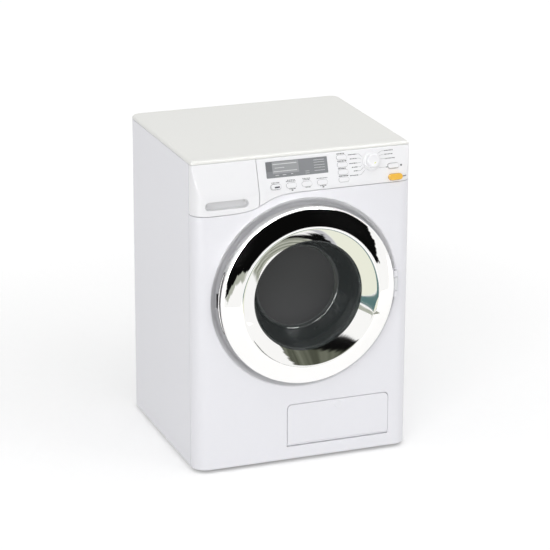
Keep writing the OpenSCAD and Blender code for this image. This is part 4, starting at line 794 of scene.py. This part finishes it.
# Shell between a front skin and a back skin. Each edge is (outline, rows, more): rows are (inset into the
# material, depth) steps from the front skin on. An edge goes through to the back skin, is blind with a flat
# floor, or is a pocket whose own back stands behind the back skin. tip lowers the rows with their depth.
def shellPlate(outer, holes, place, gridX, gridY):
    verts, faces, count = [], [], 0
    frontLoops, frontIds, backLoops, backIds = [], [], [], []

    def addPoints(points):
        nonlocal count
        verts.append(points)
        count += len(points)
        return np.arange(count - len(points), count)

    def addFaces(made, flip):
        faces.append(made[:, ::-1] if flip else made)

    def addWall(outline, rows, tip, flip):
        normal = outlineNormals(outline)
        rings = [outline + normal * inset - np.array([0, depth * tip]) for inset, depth in rows]
        ids = [addPoints(place(r[:, 0], r[:, 1], d)) for r, (_, d) in zip(rings, rows)]
        addFaces(np.concatenate(ids)[gridQuads(len(rows), len(outline), closeCols=True)], flip)
        return rings, ids

    def addCap(ring, ids, flip):
        addFaces(ids[fillArea([ring])[1]], flip)

    for index, (outline, rows, more) in enumerate([outer] + list(holes)):
        isOuter = index == 0
        signed = [(-inset, depth) if isOuter else (inset, depth) for inset, depth in rows]
        rings, ids = addWall(outline, signed, more.get("tip", 0.0), isOuter)
        frontLoops.append(rings[0])
        frontIds.append(ids[0])
        if more.get("kind", "through") == "through":
            backLoops.append(rings[-1])
            backIds.append(ids[-1])
            backDepth = rows[-1][1]
        else:
            addCap(rings[-1], ids[-1], False)
        if more.get("kind") == "pocket":
            rings, ids = addWall(outline, more["backRows"], more.get("tip", 0.0), True)
            backLoops.append(rings[0])
            backIds.append(ids[0])
            addCap(rings[-1], ids[-1], True)
    skins = ((frontLoops, frontIds, 0.0, False), (backLoops, backIds, backDepth, True))
    for loops, loopIds, depth, flip in skins:
        places, tris, edgeCount = fillArea(loops, gridX, gridY)
        inner = addPoints(place(places[edgeCount:, 0], places[edgeCount:, 1], depth))
        addFaces(np.concatenate(loopIds + [inner])[tris], flip)
    return np.concatenate(verts), [f for corners in (4, 3) for f in faces if f.shape[1] == corners]


# Inset and depth rows of a rounded front edge and a plain wall behind it
def edgeRows(radius, thick, steps=3):
    a = np.radians(np.linspace(0, 90, steps + 1))
    return [(radius * (1 - np.sin(t)), radius * (1 - np.cos(t))) for t in a] + [(0.0, thick)]


# Service flap: place and size, clearance in its hole, axis and barrel of its lower edge, finger dimple
flapSet = {"centre": (30.0, 32.0), "size": (88.0, 36.0), "round": 4.0, "gap": 0.35, "proud": 0.6,
           "thick": 3.0, "axis": (-72.8, 16.8), "barrel": 2.8, "dimple": (30.0, 45.6, 3.2)}


# Outline of the flap, larger by gap all round: round upper corners and square lower ones
def flapOutline(gap=0.0):
    (w, h), r = np.array(flapSet["size"]) + 2 * gap, flapSet["round"]
    corner = np.array([w / 2 - r, h / 2 - r])
    points = np.concatenate([[[-w / 2, -h / 2], [w / 2, -h / 2]], arc(corner, r, 0, 90, 8),
                             arc(corner * (-1, 1), r, 90, 180, 8)])
    return evenOutline(points + np.array(flapSet["centre"]), 1.5)


# Ear of the door hinge: a D-shaped outline in X and Y carried upwards between two heights, its ends eased
def hingeEar(low, high):
    k = {"axis": (76.6, -77.5), "round": 2.8, "root": -69.0, "eased": ((0.4, 0.0), (0.1, 0.15), (0.0, 0.4))}
    x, r = k["axis"][0], k["round"]
    head = np.array([k["axis"]]) + arc((0, 0), r, 180, 360, 20)
    outline = np.concatenate([head, [[x + r, k["root"]], [x - r, k["root"]]]])
    levels = [(inset, low + rise) for inset, rise in k["eased"]]
    levels += [(inset, high - rise) for inset, rise in k["eased"][::-1]]
    normal = outlineNormals(outline)
    return stackedOutlines([atLevel(outline - normal * inset, doorZ + z) for inset, z in levels])


# Front moulding: a shell on the casing's surface up to the swing line, with a round hole for the dish,
# a pocket for the flap and the two ears of the door hinge
def makeFrontPanel():
    k = {"dish": 79.0, "dishEdge": 1.1, "pocket": 14.4, "pocketWall": 1.6, "pocketEdge": 0.35,
         "ears": ((-11.0, -5.85), (5.85, 11.0))}
    u = np.linspace(sideU, -sideU, 170)
    upper = np.column_stack([u, swingLine(contour(u, 0)[0]) - case["seam"] / 2])
    lower = [[-sideU, case["bottom"]], [sideU, case["bottom"]]]
    outline = evenOutline(np.concatenate([lower, upper]), 1.6)
    dish = arc((0, doorZ), k["dish"], 0, 360, 256)[:-1]
    thick, inset = case["wall"], k["pocketWall"]
    pocket = {"kind": "pocket", "backRows": [(inset, thick), (inset, k["pocket"])]}
    holes = [(dish, edgeRows(k["dishEdge"], thick, 5), {}),
             (flapOutline(flapSet["gap"]), edgeRows(k["pocketEdge"], k["pocket"] - inset), pocket)]
    corner = np.linspace(flatEnd - 3, sideU - 0.8, 18)
    gridX = np.concatenate([-corner[::-1], np.arange(-74, 75, 4.0), corner])
    shell = shellPlate((outline, edgeRows(case["edgeRound"], thick), {}), holes, casingPoint, gridX,
                       np.arange(5, 229, 4.0))
    body = [shell] + [hingeEar(low, high) for low, high in k["ears"]]
    return addPiece("front_moulding", "root", "casing_white", *joined(body), replaced=["front_panel"])


makeFrontPanel()


# Grey dish round the door: floor with the latch opening, cone up to the casing's face, and the neck. Its
# grey is partly a satin grey of its own and partly painted shade of the recess.
def makeSurround():
    k = {"floorP": -4.0, "floor": 75.0, "neck": 57.0, "neckP": 8.8, "thick": 2.4,
         "latch": (-73.2, -64.6, 6.0)}

    def place(x, z, depth):
        return np.stack([x, case["front"] - k["floorP"] + depth + 0 * x, doorZ + z], 1)

    thick, neckP = k["thick"], k["neckP"]
    outer = arc((0, 0), k["floor"], 0, 360, 256)[:-1]
    neck = arc((0, 0), k["neck"], 0, 360, 192)[:-1]
    x0, x1, half = k["latch"]
    latch = evenOutline([(x0, -half), (x1, -half), (x1, half), (x0, half)], 2.0)
    # The cone climbs forward to a narrow lip behind the casing's face, and comes down again on its back
    coneRows = [(1.2, 0), (0.5, -0.1), (0, -0.35), (-3.6, -3.1), (-3.95, -3.2), (-5.2, -3.2), (-5.2, -1.7),
                (-1.2, thick)]
    neckRows = [(0.8, 0), (0.25, 0.2), (0, 0.8), (0, neckP), (thick, neckP), (thick, thick)]
    holes = [(neck, neckRows, {}), (latch, edgeRows(0.3, thick), {})]
    verts, faces = shellPlate((outer, coneRows, {}), holes, place, (), ())
    return addPiece("door_surround", "root", "casing_white", verts, faces, material=surroundGrey)


makeSurround()
print("front panel and dish made")


# Outline of a moulding above the swing line, over this run of contour places
def upperOutline(u):
    low = np.column_stack([u, swingLine(contour(u, 0)[0]) + case["seam"] / 2])
    top = case["coverZ"] - case["topGap"]
    return evenOutline(np.concatenate([low, [[u[-1], top], [u[0], top]]]), 1.0)


# Heights of such a moulding's grid: close together about the crease, and this far apart above it
def creaseGrid(above):
    return np.concatenate([np.arange(218, 227, 2.0), np.arange(227, 236, 0.7), np.arange(236, 256, above)])


# Plain box between two corners, for arms behind a moulding
def boxBetween(low, high):
    base = np.array([(low[0], low[1]), (high[0], low[1]), (high[0], high[1]), (low[0], high[1])])
    return stackedOutlines([atLevel(base, z) for z in (low[2], high[2])])


# Drawer front: a shell on the casing's surface left of the upright seam, with two arms behind it and the
# grip slot as a pocket, whose wall turns in towards its floor in a quarter circle
def makeDrawerFront():
    k = {"slot": (-65.5, 224.7, 36.0, 6.8), "deep": 5.0, "back": 1.4, "rim": 0.45, "heel": 0.9,
         "armX": (-81.6, -50.0), "armWide": 4.0, "armY": (-72.8, -66.0), "armZ": (225.4, 231.4)}
    u = np.linspace(-sideU, case["seamX"] - case["seam"] / 2, 60)
    x, z, w, h = k["slot"]
    slot = evenOutline(roundedOutline(w, h, h / 2, (x, z), 12), 2.0, 0)
    heelAt, heel = k["deep"] - k["heel"], k["heel"]
    rows = edgeRows(k["rim"], heelAt, 5)
    a = np.radians(np.linspace(15, 90, 6))
    rows += [(-heel * (1 - np.cos(t)), heelAt + heel * np.sin(t)) for t in a]
    pocket = {"kind": "pocket", "backRows": [(k["back"], case["wall"]), (k["back"], k["deep"] + k["back"])]}
    gridX = np.concatenate([np.linspace(-sideU + 0.6, -77, 26), np.arange(-75, -40, 3.0)])
    shell = shellPlate((upperOutline(u), edgeRows(case["edgeRound"], case["wall"]), {}),
                       [(slot, rows, pocket)], casingPoint, gridX, creaseGrid(2.0))
    (y0, y1), (z0, z1) = k["armY"], k["armZ"]
    arms = [boxBetween((ax, y0, z0), (ax + k["armWide"], y1, z1)) for ax in k["armX"]]
    piece = addPiece("drawer_face", "drawer", "fascia_white", *joined([shell] + arms),
                     replaced=["drawer_front"])
    # Painted shade: the recess's faces take a greyer finish than the face round it, for the shade inside
    # the slot
    px, py, pz = faceCentres(piece)
    inside = (np.abs(px - x) < w / 2 + 0.5) & (np.abs(pz - z) < h / 2 + 0.5) & (py > case["front"] + 0.5)
    addSecondFinish(piece, slotPaintedShade, inside)
    return piece


makeDrawerFront()

# Places on the sloping panel: (x, s, width, height) of display and keys, and the distances between keys
panelPlaces = {
    "display": (-5.095, 17.9, 52.0, 13.0), "displayDeep": 1.2, "start": (-24.483, 4.3, 8.4, 4.0),
    "power": (76.387, 11.6, 9.4, 3.8), "opener": (77.016, 2.6, 11.2, 5.0), "dial": (57.785, 17.1),
    "rowPitch": 13.1, "column": (33.209, 4.6, 8.6, 3.6), "columnPitch": 5.9, "keyGap": 0.35,
}


# Key of the row below the display, counted from the start key, and key of the column beside the dial
def rowKey(i):
    x, s, w, h = panelPlaces["start"]
    return x + i * panelPlaces["rowPitch"], s, w, h


def columnKey(i):
    x, s, w, h = panelPlaces["column"]
    return x, s + i * panelPlaces["columnPitch"], w, h


# Height on the casing of a place s up the slope
def slopeZ(s):
    return case["creaseZ"] + np.asarray(s) * tiltCos


# Outline on the slope turned into contour places and heights
def onSlope(outline):
    return np.column_stack([outline[:, 0], slopeZ(outline[:, 1])])


# Outline of a key with round ends, larger by grow across
def keyEdge(key, grow):
    x, s, w, h = key
    return roundedOutline(w + grow, h + grow, (h + grow) / 2, (x, s), 10)


# Control panel: a shell on the casing's surface right of the upright seam, with a blind window for the
# display, holes for the keys that move and raised pads for those that don't
def makeFascia():
    k = {**panelPlaces, "padHigh": 0.6, "padRound": 0.3, "windowRound": 0.5}
    u = np.linspace(case["seamX"] + case["seam"] / 2, sideU, 130)
    x, s, w, h = k["display"]
    window = evenOutline(onSlope(roundedOutline(w, h, k["windowRound"], (x, s), 3)), 1.5, 0)
    holes = [(window, edgeRows(0.25, k["displayDeep"], 2), {"kind": "blind", "tip": tiltSin})]
    for name in ("start", "power", "opener"):
        hole = evenOutline(onSlope(keyEdge(k[name], k["keyGap"])), 2.0, 0)
        holes.append((hole, edgeRows(0.3, case["wall"], 2), {"tip": tiltSin}))
    gridX = np.concatenate([np.arange(-35, 76, 3.0), np.linspace(77, sideU - 0.6, 32)])
    shell = shellPlate((upperOutline(u), edgeRows(case["edgeRound"], case["wall"]), {}), holes, casingPoint,
                       gridX, creaseGrid(1.6))
    parts = [shell]
    for x, s, w, h in [rowKey(i) for i in (1, 2, 3)] + [columnKey(i) for i in range(4)]:
        rows = roundedRows(-k["padRound"], k["padHigh"], k["padRound"], 4)
        verts, faces = roundedCap(w, h, h / 2, rows, (x, s), 10)
        parts.append((toPanel(verts), faces))
    return addPiece("control_panel", "root", "fascia_white", *joined(parts), replaced=["control_fascia"])


makeFascia()
print("drawer front and control panel made")


# Key that moves: a rounded cap above the panel and its stem behind
def makeKey(name, body, node):
    k = {"proud": 1.4, "soft": 0.6, "foot": -2.6, "stemTop": -2.7, "stemFoot": -5.4}
    x, s, w, h = panelPlaces[body]
    cap = roundedCap(w, h, h / 2, roundedRows(k["foot"], k["proud"], k["soft"], 6), (x, s), 12)
    stem = roundedCap(h, h - 1, (h - 1) / 2, [(0, k["stemFoot"]), (0, k["stemTop"])], (x, s), 8)
    verts, faces = joined([cap, stem])
    return addPiece(name, body, "fascia_white", toPanel(verts), faces, replaced=[node])


makeKey("start_button", "start", "start_key")
makeKey("power_button", "power", "power_key")


# Dial turned from one profile: shaft, skirt with an eased rim, fillet, grip with a round rim, dished top
def makeDial():
    k = {"skirt": 7.4, "under": 0.35, "upper": 0.5, "skirtHigh": 1.95, "fillet": 0.6,
         "filletAt": (0.75, 2.58), "grip": 5.3, "high": 6.4, "gap": 0.35, "shaft": 3.0, "shaftLow": -6.0,
         "rim": 0.9}
    skirt, grip, high, rim = k["skirt"], k["grip"], k["high"], k["rim"]
    profile = np.concatenate([
        [[0, k["shaftLow"]], [k["shaft"], k["shaftLow"]], [k["shaft"], k["gap"]], [skirt - 0.3, k["gap"]]],
        arc((skirt - k["under"], k["gap"] + k["under"]), k["under"], -90, 0, 4),
        arc((skirt - k["upper"], k["skirtHigh"] - k["upper"]), k["upper"], 0, 90, 6),
        arc((grip + k["filletAt"][0], k["filletAt"][1]), -k["fillet"], 90, 0, 5),
        arc((grip - rim, high - rim), rim, 0, 90, 8),
        [[grip - 1.5, high - 0.02], [grip - 2.4, high - 0.28], [grip - 3.8, high - 0.42]],
        [[0, high - 0.45]]])
    verts, faces = turnedSurface(profile, 128)
    verts = toPanel(verts + np.array([*panelPlaces["dial"], 0]))
    return addPiece("program_knob", "dial", "fascia_white", verts, faces, replaced=["program_dial"])


makeDial()


# Pale lid: the casing's outline at that height, drawn in row by row to round the upper edge; a lip below
def makeTopCover():
    k = {"round": 2.4, "high": 260.0, "lip": (179.6, 146.0, 9.0), "lipY": 12.0, "lipWall": 2.4,
         "lipLow": 254.0}
    low, r = case["coverZ"], case["rearRound"]
    hx, hy = case["halfWidth"] - r, case["back"] - r
    u = np.linspace(-sideU, sideU, 260)
    rings = []
    rows = [(0.3, low), (0.0, low + 0.25)] + roundedRows(low + 0.3, k["high"], k["round"], 8)[1:]
    for inset, level in rows:
        front = casingPoint(u, np.full(len(u), low), inset)[:, :2]
        rear = [arc((hx, hy), r - inset, 0, 90, 12), arc((-hx, hy), r - inset, 90, 180, 12)]
        rings.append(atLevel(np.concatenate([front] + rear), level))
    w, h, lipRound = k["lip"]
    wall, foot, top = k["lipWall"], k["lipLow"], low + 0.1
    lips = [atLevel(roundedOutline(w - 2 * t, h - 2 * t, lipRound - t, (0, k["lipY"]), 6), z)
            for t, z in ((0, top), (0, foot), (wall, foot), (wall, top))]
    lip = (np.concatenate(lips), [gridQuads(4, len(lips[0]), closeRows=True, closeCols=True)])
    parts = [stackedOutlines(rings), lip]
    return addPiece("lid", "root", "cover_cream", *joined(parts), replaced=["top_cover"])


makeTopCover()


# Service flap: flat face with a finger dimple, which falls back in a quarter circle below the hinge's axis
def makeFlap():
    k = flapSet

    def place(x, z, depth):
        below = np.clip(k["axis"][1] - z, 0, k["barrel"])
        face = k["axis"][0] - np.sqrt(k["barrel"] ** 2 - below ** 2)
        back = case["front"] - k["proud"] + k["thick"]
        return np.stack([x, face + (back - face) * depth / k["thick"], z + 0 * x], 1)

    dx, dz, dr = k["dimple"]
    dimple = arc((dx, dz), dr, 0, 360, 64)[:-1]
    rows = [(0.25, 0.0), (0.1, 0.03), (0, 0.1), (-0.5, 0.28), (-1.2, 0.4)]
    gridZ = np.concatenate([np.arange(14.6, 17.4, 0.35), np.arange(19, 49, 4.0)])
    verts, faces = shellPlate((flapOutline(), edgeRows(0.55, k["thick"], 4), {}),
                              [(dimple, rows, {"kind": "blind"})], place, np.arange(-12, 73, 4.0), gridZ)
    return addPiece("flap_door", "flap", "casing_white", verts, faces, replaced=["service_flap"])


makeFlap()
print("keys, dial, lid and flap made")


# Dark pad in the ring's grip: a lens on the side wall, flush at its rim and dished for the fingers:
# radius = outer - dish (1 - s^2)(1 - t^2), with s across the lens and t along it
def makeGripLiner():
    k = {"flush": 0.12, "dish": 1.5, "thick": 0.4, "low": 1.8, "high": 7.25, "rows": 21, "cols": 121}
    turnFrom, turnTo = np.radians(ringSet["gripFrom"] - 1.0), np.radians(ringSet["gripTo"] + 1.0)
    t = np.linspace(-1, 1, k["cols"])[None, :]
    s = np.sin(np.linspace(-np.pi / 2, np.pi / 2, k["rows"]))[:, None]
    turn = (turnFrom + turnTo) / 2 + (turnTo - turnFrom) / 2 * t + 0 * s
    p = (k["low"] + k["high"]) / 2 + (k["high"] - k["low"]) / 2 * s * (1 - t ** 4) ** 0.5
    face = ringSet["outer"] + k["flush"] - k["dish"] * (1 - s ** 2) * (1 - t ** 2)
    shells = []
    for radius in (face, face - k["thick"]):
        shells.append(np.stack([radius * np.cos(turn), radius * np.sin(turn), p], 2).reshape(-1, 3))
    rows, cols = k["rows"], k["cols"]
    one = gridQuads(rows, cols)
    last = (rows - 1) * cols
    rim = np.concatenate([np.arange(cols), np.arange(1, rows) * cols + cols - 1,
                          last + np.arange(cols - 2, -1, -1), np.arange(rows - 2, 0, -1) * cols])
    after = np.roll(rim, -1)
    wall = np.stack([rim, after, after + rows * cols, rim + rows * cols], 1)
    verts, faces = weldPoints(np.concatenate(shells), [one[:, ::-1], one + rows * cols, wall], near=1e-3)
    return addPiece("grip_liner", "door", "grip_dark", toDoor(verts), faces, angle=60,
                    replaced=["door_grip"])


makeGripLiner()


# Printed marks, and the key outlines that are partly painted shade: how far they stand out of the face and
# reach into it, and the length of a bar's steps
markSet = {"thick": 0.05, "sunk": 0.03, "length": 1.5}


# Flat bar between two places on the casing's face, its middle line cut into short steps so that it
# follows the corner; out lifts it from the face
def barOnPanel(start, end, width, out=0.0):
    k = markSet
    a, b = np.asarray(start, float), np.asarray(end, float)
    length = np.hypot(*(b - a))
    side = np.array([-(b - a)[1], (b - a)[0]]) / length * width / 2
    line = a + (b - a) * np.linspace(0, 1, max(int(length / k["length"]), 1) + 1)[:, None]
    depth = np.array([-out - k["thick"], -out - k["thick"], -out + k["sunk"], -out + k["sunk"]])
    rings = []
    for place in line:
        x, s = np.array([place - side, place + side, place + side, place - side]).T
        rings.append(casingPoint(x, slopeZ(s), depth))
    return stackedOutlines(rings)


# Row of short dashes that stands for a printed label; its four lengths repeat, and shift is the first one
def dashRow(start, length, height, shift=0):
    k = {"lengths": (0.9, 1.5, 0.6, 1.2), "gap": 0.35, "least": 0.3}
    made, x = [], 0.0
    while x < length - k["least"]:
        dash = min(k["lengths"][(shift + len(made)) % 4], length - x)
        made.append(barOnPanel((start[0] + x, start[1]), (start[0] + x + dash, start[1]), height))
        x += dash + k["gap"]
    return made


# Outline round a key, as a narrow flat band: its inner edge and that edge moved out, each at two depths.
# Its soft grey is partly a printed outline and partly painted shade of the groove round the key
def keyOutline(key, grow):
    k = {**markSet, "wide": 0.22}
    inner = evenOutline(keyEdge(key, grow), 2.0, 0)
    outer = inner + outlineNormals(inner) * k["wide"]
    rings = []
    for ring, depth in ((inner, k["sunk"]), (inner, -k["thick"]), (outer, -k["thick"]), (outer, k["sunk"])):
        rings.append(casingPoint(ring[:, 0], slopeZ(ring[:, 1]), np.full(len(ring), depth)))
    return np.concatenate(rings), [gridQuads(4, len(inner), closeRows=True, closeCols=True)]


# Dark and soft marks of the keys: dark print, and soft outlines that are partly print and partly painted
# shade.
# A key of the row has up to three labels, two above it and one below: each has a length for every key, a
# step aside, a height over the key's middle and a first dash
def keyMarks():
    k = {"labelHigh": 0.5, "columnHigh": 0.75, "columnLabel": (-4.0, 2.95), "columnLengths": (8.0, 6.4),
         "startBar": (-1.4, 2.8, 0.15, 1.2), "startProud": 1.4, "lowBar": (-0.2, 1.2, -3.8, 0.9)}
    rowLabels = (((6.6, 8.6, 5.6, 9.0), 0.0, 3.3, 0), ((0, 6.4, 6.8, 0), 0.0, 4.3, 2),
                 ((0, 5.2, 4.2, 5.6), 0.6, -2.7, 1))
    keys = [rowKey(i) for i in range(4)] + [columnKey(i) for i in range(4)] + [panelPlaces["power"]]
    moving = (panelPlaces["start"], panelPlaces["power"])
    soft = [keyOutline(key, panelPlaces["keyGap"] if key in moving else 0.0) for key in keys]
    dark = []
    for i in range(4):
        x, s = rowKey(i)[:2]
        for lengths, aside, above, first in rowLabels:
            if lengths[i]:
                start = (x - lengths[i] / 2 + aside, s + above)
                dark += dashRow(start, lengths[i], k["labelHigh"], shift=i + first)
    x, s = rowKey(0)[:2]
    fromX, toX, climb, wide = k["startBar"]
    dark.append(barOnPanel((x + fromX, s), (x + toX, s + climb), wide, k["startProud"]))
    fromX, toX, below, wide = k["lowBar"]
    for i in (1, 3):
        x, s = rowKey(i)[:2]
        dark.append(barOnPanel((x + fromX, s + below), (x + toX, s + below), wide))
    for i in range(4):
        x, s = columnKey(i)[:2]
        start = (x + k["columnLabel"][0], s + k["columnLabel"][1])
        dark += dashRow(start, k["columnLengths"][i % 2], k["columnHigh"], shift=i)
    return dark, soft


# Dark and soft marks round the dial: a leader line leaves the dial at an angle, bends at an elbow and ends
# level with its label. Rows are (angle, level above the dial's middle, length of the label)
def dialMarks():
    k = {"leave": 8.5, "beyond": 0.8, "tail": 1.6, "label": 2.1, "labelHigh": 0.62, "line": 0.2}
    left = ((150, 6.6, 7.4), (166, 3.2, 6.0), (181, -0.4, 7.0), (197, -3.6, 5.0), (213, -6.6, 3.6),
            (229, -10.0, 7.4))
    right = ((40, 7.2, 7.6), (24, 4.2, 7.0), (8, 0.8, 8.6), (-44, -6.0, 4.2))
    dx, ds = panelPlaces["dial"]
    dark, soft = [], []
    for side, reach, rows in ((-1, 9.6, left), (1, 10.0, right)):
        for i, (turn, level, length) in enumerate(rows):
            toward = np.array([np.cos(np.radians(turn)), np.sin(np.radians(turn))])
            inner = np.array([dx, ds]) + toward * k["leave"]
            away = max(reach, side * (inner[0] - dx) + k["beyond"])
            elbow = np.array([dx + side * away, ds + level])
            soft.append(barOnPanel(inner, elbow, k["line"]))
            soft.append(barOnPanel(elbow, elbow + np.array([side * k["tail"], 0]), k["line"]))
            start = elbow[0] + side * k["label"] - (length if side < 0 else 0)
            dark += dashRow((start, elbow[1]), length, k["labelHigh"], shift=i)
    return dark, soft


# Display: pale bars, a lighter screen and a dark shade, each (x, s, length, width) from its middle
def makeDisplayMarks():
    k = {"out": 0.95, "behind": 0.03, "screen": (-9.45, 1.2, 22.1, 9.4), "shade": (-23.2, 2.2, 4.8, 7.4)}
    bars = ((-10.0, 4.0, 20, 0.6), (-14.5, 1.1, 8, 0.5), (-10.0, -1.7, 20, 0.55), (19.0, 4.4, 9, 0.35),
            (19.0, 2.6, 9, 0.25), (19.0, 0.4, 9, 0.3), (19.0, -1.6, 9, 0.25), (19.0, -3.9, 9, 0.3),
            (-17, -4.7, 3, 0.4), (-11, -4.7, 3, 0.4), (-4.5, -4.5, 1.6, 0.5), (8.5, -3.6, 3.4, 0.25),
            (8.5, -5.2, 3.4, 0.25))
    out = k["out"] - panelPlaces["displayDeep"]

    def addBars(name, slotName, material, bars, out):
        made = []
        for x, s, length, width in bars:
            x, s = x + panelPlaces["display"][0], s + panelPlaces["display"][1]
            made.append(barOnPanel((x - length / 2, s), (x + length / 2, s), width, out))
        addPiece(name, "root", slotName, *joined(made), material=material, weighted=False)

    addBars("display_bars", "fascia_white", printLight, bars, out)
    addBars("display_screen", "display_grey", screenGrey, [k["screen"]], out - k["behind"])
    addBars("display_shade", "display_grey", shadeGrey, [k["shade"]], out - k["behind"])


# All marks on the panel but the display's, the last ones beside the power key and the orange button
def makePanelPrintAndShade():
    k = {"powerBar": (6.2, 7.6, 1.3), "openerLabel": (6.8, 4.2, 0.9)}
    keyDark, keySoft = keyMarks()
    dialDark, dialSoft = dialMarks()
    x, s = panelPlaces["power"][:2]
    fromX, toX, wide = k["powerBar"]
    dark = keyDark + dialDark + [barOnPanel((x + fromX, s), (x + toX, s), wide)]
    x, s = panelPlaces["opener"][:2]
    aside, length, wide = k["openerLabel"]
    dark += dashRow((x + aside, s), length, wide)
    # Soft marks: the dial's lines in print, and key outlines that are partly painted shade
    soft = keySoft + dialSoft
    addPiece("panel_print", "root", "black_plastic", *joined(dark), material=printGrey, weighted=False)
    addPiece("panel_lines", "root", "black_plastic", *joined(soft), material=softPrintAndShade, weighted=False)


# Pointer dot of the dial: a pale yellow-green disc sunk in the grip
def makeDialDot():
    k = {"turn": -62.0, "at": 3.2, "radius": 1.4, "low": 5.6, "high": 6.1}
    x, s = panelPlaces["dial"]
    turn = np.radians(k["turn"])
    verts, faces = turnedSurface([[0, k["low"]], [k["radius"], k["low"]], [k["radius"], k["high"] - 0.1],
                                  [k["radius"] - 0.12, k["high"]], [0, k["high"]]], 48)
    verts = verts + np.array([x + k["at"] * np.cos(turn), s + k["at"] * np.sin(turn), 0])
    return addPiece("dial_dot", "dial", "marker_green", toPanel(verts), faces, replaced=["dial_marker"])


makeDialDot()
makePanelPrintAndShade()
makeDisplayMarks()
print("marks made")

# The CAD nodes that are shown as they are take the finish of their slot
for nodeName, node in frame["nodes"].items():
    slotName = next(r["material_slot"] for r in frame["record"]["subparts"] if r["node"] == nodeName)
    for place in node.material_slots:
        place.material = finishes[slotName]
print("carried-over pieces painted")
